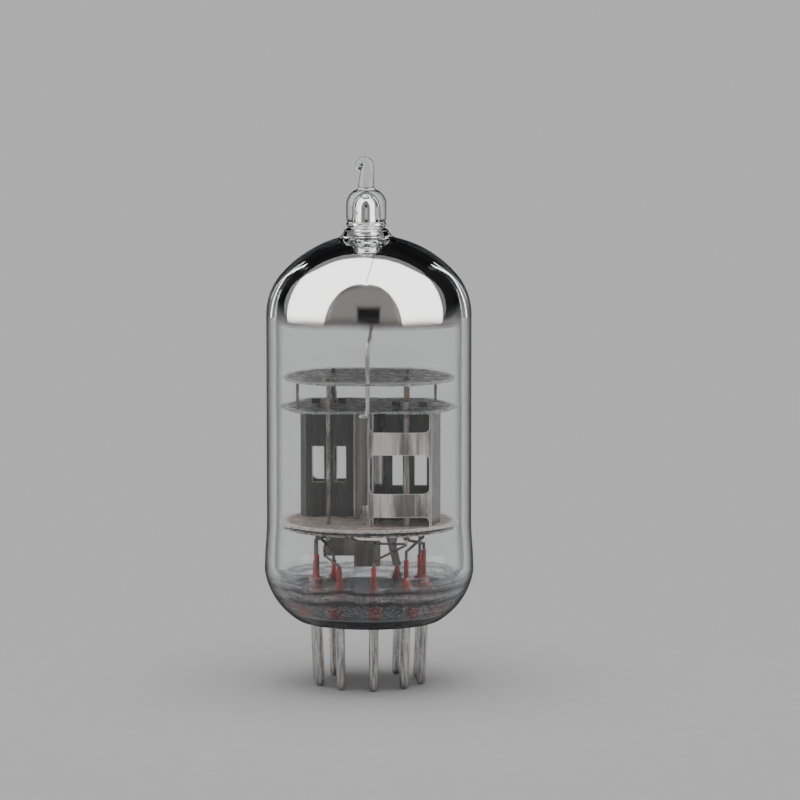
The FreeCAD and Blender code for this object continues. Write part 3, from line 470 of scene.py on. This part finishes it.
def arc(start, finish, radius, turn, steps=18):
    """Points of the short arc between two points. turn is 1 for anticlockwise."""
    a, b = Vector(start), Vector(finish)
    chord = b - a
    rise = math.sqrt(radius ** 2 - (chord.length / 2) ** 2)
    centre = (a + b) / 2 + Vector((-chord.y, chord.x)).normalized() * rise * turn
    first = math.atan2(a.y - centre.y, a.x - centre.x)
    sweep = 2 * math.asin(chord.length / 2 / radius) * turn
    angles = [first + sweep * i / steps for i in range(1, steps + 1)]
    return [(centre.x + radius * math.cos(t), centre.y + radius * math.sin(t)) for t in angles]


def line(start, finish, steps):
    a, b = Vector(start), Vector(finish)
    return [tuple(a.lerp(b, i / steps)) for i in range(1, steps + 1)]


def ease(t):
    t = min(max(t, 0.0), 1.0)
    return t * t * (3 - 2 * t)


def bend(start, finish, steps):
    """An S-shaped run between two upright stretches."""
    rise = [i / steps for i in range(1, steps + 1)]
    return [(start[0] + (finish[0] - start[0]) * ease(t), start[1] + (finish[1] - start[1]) * t)
            for t in rise]


def smooth(points, steps):
    """A Catmull-Rom curve through points of any size."""
    points = [Vector(p) for p in points]
    ends = [2 * points[0] - points[1]] + points + [2 * points[-1] - points[-2]]
    run = []
    for a, b, c, d in zip(ends, ends[1:], ends[2:], ends[3:]):
        for i in range(steps):
            t = i / steps
            run.append(0.5 * (2 * b + (c - a) * t + (2 * a - 5 * b + 4 * c - d) * t ** 2
                              + (3 * b - a - 3 * c + d) * t ** 3))
    return run + [points[-1]]


def skin(mesh, rings, around, closed=False):
    """Faces between rings, each (centre, side, other side, radius) in millimetres.

    A ring of radius 0 is a point.
    """
    loops = []
    for centre, side, other, radius in rings:
        if radius < 1e-6:
            loops.append([mesh.verts.new(centre * MM)])
            continue
        turns = [2 * math.pi * i / around for i in range(around)]
        loops.append([mesh.verts.new((centre + (side * math.cos(t) + other * math.sin(t)) * radius) * MM)
                      for t in turns])
    pairs = list(zip(loops, loops[1:]))
    if closed:
        pairs.append((loops[-1], loops[0]))
    for low, high in pairs:
        if len(low) == 1 and len(high) == 1:
            continue
        for j in range(around):
            k = (j + 1) % around
            corners = [low[j % len(low)], low[k % len(low)], high[k % len(high)], high[j % len(high)]]
            mesh.faces.new(list(dict.fromkeys(corners))).smooth = True


def level_rings(profile, shift):
    """Rings about Z from a profile of (radius, height), each moved aside by shift(height) if given."""
    return [(Vector((shift(z) if shift else 0.0, 0, z)), Vector((1, 0, 0)), Vector((0, 1, 0)), r)
            for r, z in profile]


def swept_rings(points, radii):
    """Rings square to a path, turned as little as possible from one to the next."""
    rings = []
    side = None
    for i, point in enumerate(points):
        along = (points[min(i + 1, len(points) - 1)] - points[max(i - 1, 0)]).normalized()
        if side is None:
            side = along.orthogonal().normalized()
        side = (side - along * side.dot(along)).normalized()
        rings.append((point, side, along.cross(side), radii[i]))
    return rings


def finish_mesh(name, mesh):
    bmesh.ops.recalc_face_normals(mesh, faces=mesh.faces)
    data = bpy.data.meshes.new(name)
    mesh.to_mesh(data)
    mesh.free()
    made = bpy.data.objects.new(name, data)
    bpy.context.scene.collection.objects.link(made)
    return made


def lathe(name, profile, shift=None, around=ROUND):
    """A closed surface turned about Z."""
    mesh = bmesh.new()
    skin(mesh, level_rings(profile, shift), around, closed=True)
    return finish_mesh(name, mesh)


def wire_rings(points, radius):
    """A wire's rings, with a rounded cap at each end."""
    points = [Vector(p) for p in points]
    first = (points[0] - points[1]).normalized() * radius
    last = (points[-1] - points[-2]).normalized() * radius
    run = [points[0] + first, points[0] + first * 0.7] + points
    run += [points[-1] + last * 0.7, points[-1] + last]
    return swept_rings(run, [0.0, radius * 0.7] + [radius] * len(points) + [radius * 0.7, 0.0])


def wire(name, points, radius):
    """A round wire that follows a smooth curve through its points."""
    mesh = bmesh.new()
    skin(mesh, wire_rings(smooth(points, 8), radius), around=12)
    return finish_mesh(name, mesh)


def keep(piece, material, replaced):
    """Puts a piece on the tube, in place of a CAD node."""
    piece.data.materials.append(material)
    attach(piece, "root")
    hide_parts(replaced)


def paint(material, *names):
    """Gives CAD nodes a material."""
    for name in names:
        for entry in nodes[name].material_slots:
            entry.link = "OBJECT"
            entry.material = material


# Mica and wire


def circle(x, y, radius, steps=16):
    turns = [2 * math.pi * i / steps for i in range(steps)]
    return [(x + radius * math.cos(t), y + radius * math.sin(t)) for t in turns]


def box(x, y, half_width, half_depth):
    return [(x - half_width, y - half_depth), (x + half_width, y - half_depth),
            (x + half_width, y + half_depth), (x - half_width, y + half_depth)]


def both(loops):
    """Each hole, and the same hole turned half a turn about the axis."""
    return loops + [[(-x, -y) for x, y in loop] for loop in loops]


POST_HOLES = both([circle(*ROD, 0.28), box(*CATHODE, 0.32, 1.06)])
ELECTRODE_HOLES = both([circle(CATHODE[0], CATHODE[1] - GRID_SPREAD, 0.41),
                        circle(CATHODE[0], CATHODE[1] + GRID_SPREAD, 0.41),
                        box(2.9, -1.4, 0.5, 0.1), box(5.7, -1.4, 0.5, 0.1)])
SHIELD_SLOTS = both([box(1.25, 0.0, 0.25, 0.15)])
GETTER_HOLE = [circle(-0.1, -6.95, 0.27)]


def ragged(outline, bite, pitch, chance):
    """The outline with a chipped edge that never goes outside the sheet's own size."""
    chipped = []
    for (ax, ay), (bx, by) in zip(outline, outline[1:] + outline[:1]):
        count = max(1, round(math.hypot(bx - ax, by - ay) / pitch))
        for i in range(count):
            x, y = ax + (bx - ax) * i / count, ay + (by - ay) * i / count
            depth = bite * (chance.random() ** 2)
            shrink = 1 - depth / math.hypot(x, y)
            chipped.append((x * shrink, y * shrink))
    return chipped


def flat_sheet(mesh, loops, low, high):
    """A closed sheet. The first loop is its outline and the others are holes."""
    points, edges = [], []
    for loop in loops:
        first = len(points)
        points += [Vector(p) for p in loop]
        edges += [(first + i, first + (i + 1) % len(loop)) for i in range(len(loop))]
    found, _, faces, *_ = delaunay_2d_cdt(points, edges, [], 4, 1e-6)
    levels = [[mesh.verts.new(Vector((p.x, p.y, z)) * MM) for p in found] for z in (low, high)]
    borders = {}
    for face in faces:
        mesh.faces.new([levels[0][i] for i in reversed(face)])
        mesh.faces.new([levels[1][i] for i in face])
        for a, b in zip(face, face[1:] + face[:1]):
            edge = tuple(sorted((a, b)))
            borders[edge] = None if edge in borders else (a, b)
    for a, b in filter(None, borders.values()):
        mesh.faces.new([levels[0][a], levels[0][b], levels[1][b], levels[1][a]])


def mica(name, outline, holes, low, flakes, bite, seed):
    """Mica split into flakes, each with its own chipped edge and a hair clear of the next."""
    chance = random.Random(seed)
    mesh = bmesh.new()
    clear = 0.004
    for i in range(flakes):
        under = low + MICA_THICKNESS * i / flakes + clear
        over = low + MICA_THICKNESS * (i + 1) / flakes - clear
        flat_sheet(mesh, [ragged(outline, bite, 0.28, chance)] + holes, under, over)
    return finish_mesh(name, mesh)


def flat_sided(radius, half_depth):
    """A disc with a straight cut at its front and at its back."""
    steps = 48
    cut = math.acos(half_depth / radius)
    turns = [math.pi / 2 + cut + (math.pi - 2 * cut) * i / steps for i in range(steps + 1)]
    left = [(radius * math.cos(t), radius * math.sin(t)) for t in turns]
    return left + [(-x, -y) for x, y in left]


def build_micas():
    chalky, flaky = coated_mica(), clear_mica()
    top = flat_sided(9.15, 8.1)
    pointed = [(9.84, 0), (7.0, 6.7), (-7.0, 6.7), (-9.84, 0), (-7.0, -6.7), (7.0, -6.7)]
    lower = POST_HOLES + ELECTRODE_HOLES + SHIELD_SLOTS
    # Node, outline, holes, flakes, how deep the edge is chipped, slot and material
    sheets = (
        ("lower_mica", circle(0, 0, 9.6, 120), lower, 2, 0.35, "coated_mica", chalky),
        ("lower_mica_backing", circle(0, 0, 9.2, 120), lower, 2, 0.9, "coated_mica", chalky),
        ("upper_mica", pointed, POST_HOLES + ELECTRODE_HOLES, 3, 0.5, "clear_mica", flaky),
        ("top_mica", top, POST_HOLES + GETTER_HOLE, 3, 0.4, "clear_mica", flaky),
    )
    for seed, (node, outline, holes, flakes, bite, slot, material) in enumerate(sheets):
        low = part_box(node)[0].z / MM
        keep(mica(node + "_sheet", outline, holes, low, flakes, bite, seed), material, node)


def winding(x, y):
    """A grid's fine wire, wound round its two rods."""
    around, radius = 24, 0.33
    steps = GRID_TURNS * around
    points = []
    for i in range(steps + 1):
        angle = 2 * math.pi * i / around
        run = Vector((radius * math.cos(angle), radius * math.sin(angle), 0))
        run.y += math.copysign(GRID_SPREAD, run.y) if abs(run.y) > 1e-9 else 0
        points.append(Vector((x, y, GRID_LOW + GRID_HEIGHT * i / steps)) + run)
    return points


def build_windings():
    wound = drawn_wire("winding_wire", (0.16, 0.13, 0.10), (0.55, 0.47, 0.38))
    wire_radius = 0.03
    for label, sign in (("a", 1), ("b", -1)):
        mesh = bmesh.new()
        points = winding(sign * CATHODE[0], sign * CATHODE[1])
        skin(mesh, wire_rings(points, wire_radius), 6)
        keep(finish_mesh(f"fine_winding_{label}", mesh), wound, f"grid_winding_{label}")


# Glass


def crown(inset, radius):
    """Where the dome's crown is at a radius, inset from the outside."""
    return radius, CROWN_CENTRE + math.sqrt((CROWN_CURVE - inset) ** 2 - radius ** 2)


def join_point(corner, start, inset):
    """Where a shoulder's arc, with its centre at a corner and a height, meets the crown's."""
    slope = math.atan2(start - CROWN_CENTRE, corner)
    reach = CROWN_CURVE - inset
    return reach * math.cos(slope), CROWN_CENTRE + reach * math.sin(slope)


def inner_corner():
    """The centre of the inner shoulder's arc, which starts lower than the outer one."""
    rise, crown_inside, side_inside = INNER_SHOULDER - CROWN_CENTRE, CROWN_CURVE - WALL, SIDE - WALL
    curve = (crown_inside + side_inside - rise ** 2 / (crown_inside - side_inside)) / 2
    return side_inside - curve


def inner_dome(inset, mouth):
    """The inside of the dome, from the wall up to the throat, inset from the outside."""
    corner = inner_corner()
    join = join_point(corner, INNER_SHOULDER, inset)
    side = arc((SIDE - inset, INNER_SHOULDER), join, SIDE - inset - corner, 1)
    return side + arc(join, crown(inset, mouth), CROWN_CURVE - inset, 1, 24)


def tip_shift(height):
    """The exhaust tip stands a little to one side, and the crown follows it smoothly."""
    return TIP_OFFSET * ease((height - LEAN_START) / (NECK_TOP - LEAN_START))


def glass_bulb():
    """The blown bulb: wall, shoulder, crown and the neck that carries the tip."""
    outer = [BASE]
    outer += arc(BASE, (BULGE, BULGE_LOW), BASE_CURVE, 1, 24)
    outer += arc((BULGE, BULGE_LOW), (BULGE, BULGE_HIGH), BULGE_CURVE, 1, 6)
    outer += bend((BULGE, BULGE_HIGH), (SIDE, SIDE_LOW), 16)
    outer += line((SIDE, SIDE_LOW), (SIDE, SHOULDER), 10)
    join = join_point(CORNER, SHOULDER, 0)
    outer += arc((SIDE, SHOULDER), join, SHOULDER_CURVE, 1)
    outer += arc(join, crown(0, NECK_FOOT), CROWN_CURVE, 1)
    outer += arc(crown(0, NECK_FOOT), (NECK, NECK_TOP), NECK_CURVE, -1, 8)
    side, bulge = SIDE - WALL, BULGE - WALL
    inner = line((NECK, NECK_TOP), THROAT[-1], 4) + passage(THROAT, 0)[-2::-1]
    inner += inner_dome(WALL, THROAT[0][0])[-2::-1]
    inner += line((side, INNER_SHOULDER), (side, SIDE_LOW), 10)
    inner += bend((side, SIDE_LOW), (bulge, INNER_BULGE_HIGH), 14)
    inner += arc((bulge, INNER_BULGE_HIGH), FLOOR_EDGE, INNER_BASE_CURVE, -1)
    inner += line(FLOOR_EDGE, BASE, 4)[:-1]
    return lathe("blown_bulb", outer + inner, shift=tip_shift)


def passage(points, gap):
    """A smooth run of (radius, height) through points, narrower by a gap."""
    return [(p.x - gap, p.y) for p in smooth(points, 5)]


def bore_side(gap):
    """The inside of the tip, from the neck to its rounded top."""
    side = passage(COLLAR, gap) + line((COLLAR[-1][0] - gap, COLLAR[-1][1]), (BORE - gap, BORE_TOP), 6)
    return side + arc((BORE - gap, BORE_TOP), (0.0, BORE_TOP + BORE - gap), BORE - gap, 1, 10)


def tip_body():
    """The outside of the tip, from the neck up to the foot of its stub."""
    body = [(NECK, NECK_TOP)]
    for point, steps in COLLAR_BENDS:
        body += bend(body[-1], point, steps)
    body += line(body[-1], BODY_TOP, 4)
    body += arc(BODY_TOP, STUB_FOOT, BODY_CURVE, 1, 10)
    _, height, radius = STUB[0]
    return body + arc(STUB_FOOT, (radius, height), STUB_CURVE, -1, 4)


def tip_stub():
    """The rings of the bent stub and of its rounded end."""
    bent = smooth([(aside + TIP_OFFSET, 0, height, radius) for aside, height, radius in STUB], 4)[1:]
    centres = [Vector(p[:3]) for p in bent]
    rings = swept_rings(centres, [p[3] for p in bent])
    ahead = (centres[-1] - centres[-2]).normalized()
    end, end_side, end_other, end_radius = rings[-1]
    for reach, share in ((0.5, 0.86), (0.85, 0.5), (1.0, 0.0)):
        centre = end + ahead * end_radius * reach
        rings.append((centre, end_side, end_other, end_radius * share))
    # Every ring starts in the plane of the bend, so that the skin isn't twisted
    aligned = []
    for centre, side, other, radius in rings:
        along = side.cross(other)
        aligned.append((centre, Vector((along.z, 0, -along.x)), Vector((0, 1, 0)), radius))
    return aligned


def exhaust_tip():
    """The drawn-off tube: a fused collar, a hollow body, a shoulder and a hooked stub."""
    bore = bore_side(0)[::-1] + line(COLLAR[0], (NECK, NECK_TOP), 4)[:-1]
    rings = level_rings(tip_body(), lambda height: TIP_OFFSET) + tip_stub()
    rings += level_rings(bore, lambda height: TIP_OFFSET)
    mesh = bmesh.new()
    skin(mesh, rings, around=96, closed=True)
    return finish_mesh("drawn_tip", mesh)


def boss_height(x, y):
    """How high the glass is drawn up round the leads."""
    height = 0.0
    for pin in range(PINS):
        angle = math.radians(FIRST_PIN_ANGLE + PIN_STEP * pin)
        gap = math.hypot(x - PIN_CIRCLE * math.sin(angle), y + PIN_CIRCLE * math.cos(angle))
        height += BOSS_HEIGHT * math.exp(-(gap / BOSS_RADIUS) ** 4)
    return height


def stem_button():
    """The pressed glass base. The leads go through it, and glass is drawn up round each one."""
    profile = [(0.0, BASE[1])] + line((0.0, BASE[1]), BASE, 8) + line(BASE, FLOOR_EDGE, 4)
    profile += line(FLOOR_EDGE, (0.0, FLOOR_EDGE[1]), 60)
    piece = lathe("pressed_stem", profile, around=240)
    for vertex in piece.data.vertices:
        x, y, z = vertex.co / MM
        if z > FLOOR_EDGE[1] - 1e-4 and math.hypot(x, y) < FLOOR_EDGE[0] - 0.05:
            vertex.co.z += boss_height(x, y) * MM
    return piece


def is_base_seam(x, y, z):
    """On the cone where the bulb and the base are melted together."""
    on_cone = BASE[0] + (z - BASE[1]) * (FLOOR_EDGE[0] - BASE[0]) / (FLOOR_EDGE[1] - BASE[1])
    return BASE[1] < z < FLOOR_EDGE[1] and abs(math.hypot(x, y) - on_cone) < 0.02


def is_tip_seam(x, y, z):
    """On the flat ring where the tip and the neck are melted together."""
    return abs(z - NECK_TOP) < 0.001


def mark_seam(piece, material, rules):
    """Gives the faces that any rule picks the joint's material."""
    piece.data.materials.append(material)
    for face in piece.data.polygons:
        if any(rule(*(face.center / MM)) for rule in rules):
            face.material_index = 1


def build_post():
    """The wire that carries the getter ring, bent sideways where it goes up behind the film."""
    route = [(-0.75, -7.0, 29.5), (-0.25, -6.97, 29.55), (-0.1, -6.95, 30.3), (-0.1, -6.95, 33.0),
             (-0.1, -6.95, 35.8), (-0.02, -6.9, 37.0), (0.22, -6.72, 38.1), (0.3, -6.5, 39.4),
             (0.3, -6.3, 42.2)]
    silver = drawn_wire("post_wire", (0.34, 0.32, 0.30), (0.92, 0.90, 0.87), (0.08, 0.2))
    keep(wire("bent_post", route, 0.23), silver, "getter_post")


def build_glass():
    joint = seam()
    pieces = (
        (glass_bulb(), "glass_bulb", "bulb_glass", bulb_glass(), (is_base_seam, is_tip_seam)),
        (exhaust_tip(), "exhaust_tip", "tip_glass", tip_glass(), (is_tip_seam,)),
        (stem_button(), "stem_button", "stem_glass", stem_glass(), (is_base_seam,)),
    )
    for piece, node, slot, material, rules in pieces:
        keep(piece, material, node)
        mark_seam(piece, joint, rules)
        # The light reaches what is inside, as it does through clear glass
        piece.visible_shadow = False


def getter_flash():
    """The film inside the dome, the neck and the tip's bore, a hair clear of the glass."""
    near = film_side(WALL + FILM_GAP)
    far = film_side(WALL + FILM_GAP + FILM_THICKNESS)
    mesh = bmesh.new()
    skin(mesh, level_rings(near + far[::-1], tip_shift), ROUND, closed=True)
    keep(finish_mesh("getter_film", mesh), getter_mirror(), "getter_flash")


def film_side(inset):
    """The film's path from its lower edge up to the top of the tip's bore."""
    gap = inset - WALL
    side = [(SIDE - inset, FILM_EDGE)]
    side += line(side[0], (SIDE - inset, INNER_SHOULDER), 2)
    side += inner_dome(inset, THROAT[0][0] - gap)
    return side + passage(THROAT, gap)[1:-1] + bore_side(gap)


# The stage

FLOOR_RADIUS = 8.0
TENT_FOOT = (0.62, 0.04)               # half width and height
TENT_RIDGE = (0.006, 1.35)
# Where the tent begins and ends, as (share of the way up the wall, depth)
TENT_FRONT = [(0.0, -0.57), (0.15, -0.49), (0.3, -0.43), (0.45, -0.40), (0.65, -0.41), (0.85, -0.50),
              (1.0, -0.64)]
TENT_BACK = [(1.0, 0.60), (0.0, 0.12)]
TENT_GLOW = 3.0
TENT_TURN = math.radians(-7)
RIM_LIGHT = (0.50, 0.95, 0.33)         # how far aside, behind and up each one is
RIM_SIZE = (0.05, 0.5)
RIM_AIM = Vector((0, 0, 0.03))
HORIZON = (0.52, 0.52, 0.53)
OVERHEAD = (0.012, 0.012, 0.013)
ROOM_GREY = (0.24, 0.23, 0.22)
CAMERA_LENS = 203.0
CAMERA_DOWN = math.radians(6.7)
CAMERA_DISTANCE = 0.48
CAMERA_AIM = Vector((3.3, 0, 30.4)) * MM


def stage():
    mesh = bmesh.new()
    bmesh.ops.create_circle(mesh, cap_ends=True, segments=96, radius=FLOOR_RADIUS)
    floor = finish_mesh("floor", mesh)
    floor.data.materials.append(pale_floor())
    floor.location.z = -0.01 * MM
    studio_world()
    glow_material = tent_glow()
    for side in (-1, 1):
        tent_wall(side, glow_material)
        aside, behind, up = RIM_LIGHT
        area_light(f"rim_{side}", Vector((side * aside, behind, up)), RIM_AIM, RIM_SIZE, power=0.5)
    floor_light()


def studio_world():
    """Pale at the horizon and dark above, with a grey patch in front that has a dark middle."""
    world = bpy.data.worlds.new("studio")
    bpy.context.scene.world = world
    world.use_nodes = True
    made = Nodes(world.node_tree)
    parts = made.add("ShaderNodeSeparateXYZ")
    made.link(made.add("ShaderNodeTexCoord").outputs["Generated"], parts.inputs["Vector"])
    across, ahead, up = (parts.outputs[letter] for letter in "XYZ")
    sky = made.ramp(up, [(0.04, HORIZON), (0.16, OVERHEAD)])
    front = made.step(made.maths("MULTIPLY", ahead, -1.0), 0.35, 0.55)
    beside = made.step(made.maths("ABSOLUTE", across), 0.19, 0.26)
    grey = made.maths("MULTIPLY", front, made.maths("MAXIMUM", beside, made.step(up, 0.46, 0.60)))
    seen = made.mixed(grey, sky, ROOM_GREY)
    made.link(seen, made.tree.nodes["Background"].inputs["Color"])


def floor_light():
    """An even light from above that only the floor and other matt things show."""
    light = bpy.data.lights.new("floor_light", "SUN")
    light.energy = 3.0
    light.angle = math.radians(70)
    made = bpy.data.objects.new("floor_light", light)
    bpy.context.scene.collection.objects.link(made)
    made.visible_glossy = False
    made.visible_transmission = False


def area_light(name, place, aim, size, power):
    """A rectangular softbox that faces a point and shows in gloss, metal and glass."""
    light = bpy.data.lights.new(name, "AREA")
    light.shape = "RECTANGLE"
    light.size, light.size_y = size
    light.energy = power
    made = bpy.data.objects.new(name, light)
    bpy.context.scene.collection.objects.link(made)
    made.location = place
    made.rotation_euler = (aim - place).to_track_quat("-Z", "Y").to_euler()
    made.visible_camera = False
    made.visible_diffuse = False


def tent_wall(side, material):
    """One sloping wall of a light tent that is open at the back, and in an arch at the front."""
    foot, ridge = (Vector((side * half, 0, height)) for half, height in (TENT_FOOT, TENT_RIDGE))
    mesh = bmesh.new()
    corners = [foot.lerp(ridge, up) + Vector((0, depth, 0)) for up, depth in TENT_FRONT + TENT_BACK]
    mesh.faces.new([mesh.verts.new(corner) for corner in corners])
    wall = finish_mesh(f"tent_{side}", mesh)
    wall.data.materials.append(material)
    wall.rotation_euler.z = TENT_TURN
    wall.visible_camera = False
    wall.visible_diffuse = False
    wall.visible_shadow = False


def camera():
    data = bpy.data.cameras.new("camera")
    data.sensor_width = 36.0
    data.lens = CAMERA_LENS
    made = bpy.data.objects.new("camera", data)
    bpy.context.scene.collection.objects.link(made)
    back = Vector((0, -math.cos(CAMERA_DOWN), math.sin(CAMERA_DOWN)))
    made.location = CAMERA_AIM + back * CAMERA_DISTANCE
    made.rotation_euler = (-back).to_track_quat("-Z", "Y").to_euler()
    data.clip_start = 0.01
    data.clip_end = 50.0
    bpy.context.scene.camera = made


def paint_cad():
    # The edge colours are painted highlights on the cut edges; past wall the anode's sides get painted
    # shade
    bright = nickel("anode_nickel", (0.11, 0.104, 0.095), (0.86, 0.84, 0.80), (0.14, 0.30),
                    edge=(0.86, 0.83, 0.77), wall=6.5)
    plate = nickel("anode_plate", (0.035, 0.034, 0.032), (0.065, 0.063, 0.06), edge=(0.50, 0.47, 0.43))
    paint(bright, "anode_front_a", "anode_front_b")
    paint(plate, "anode_back_a", "anode_back_b")
    paint(nickel("cathode_nickel", (0.12, 0.085, 0.065), (0.26, 0.20, 0.165)), "cathode_a", "cathode_b")
    paint(nickel("shield_nickel", (0.10, 0.09, 0.085), (0.26, 0.245, 0.23)),
          "centre_shield", "base_shield", "shield_lead")
    paint(drawn_wire("grid_metal", (0.10, 0.09, 0.08), (0.35, 0.32, 0.29)),
          "grid_rods_a", "grid_rods_b")
    paint(drawn_wire("bright_wire", (0.09, 0.083, 0.075), (0.46, 0.44, 0.41), rough=(0.12, 0.28)),
          "support_rod_rear", "support_rod_front", "mica_spacers", "rod_clips")
    paint(drawn_wire("getter_steel", (0.22, 0.20, 0.18), (0.48, 0.45, 0.42)), "getter_ring")
    paint(drawn_wire("lead_nickel", (0.05, 0.045, 0.04), (0.22, 0.20, 0.185)),
          "anode_lead_a", "anode_lead_b", "grid_lead_a", "grid_lead_b", "cathode_lead_a",
          "cathode_lead_b")
    paint(drawn_wire("heater_wire", (0.10, 0.06, 0.045), (0.34, 0.22, 0.16)),
          "heater_lead_right", "heater_lead_left", "heater_link")
    paint(chalk("heater_ceramic", (0.72, 0.70, 0.67), (0.88, 0.87, 0.85)), "heater_a", "heater_b")
    pins = [f"pin_{n}" for n in range(1, PINS + 1)]
    seals = [f"seal_lead_{n}" for n in range(1, PINS + 1)]
    paint(pin_metal(), *pins)
    paint(red_copper(), *seals)


camera()
stage()
paint_cad()
build_micas()
build_windings()
build_post()
build_glass()
getter_flash()

bpy.context.view_layer.update()
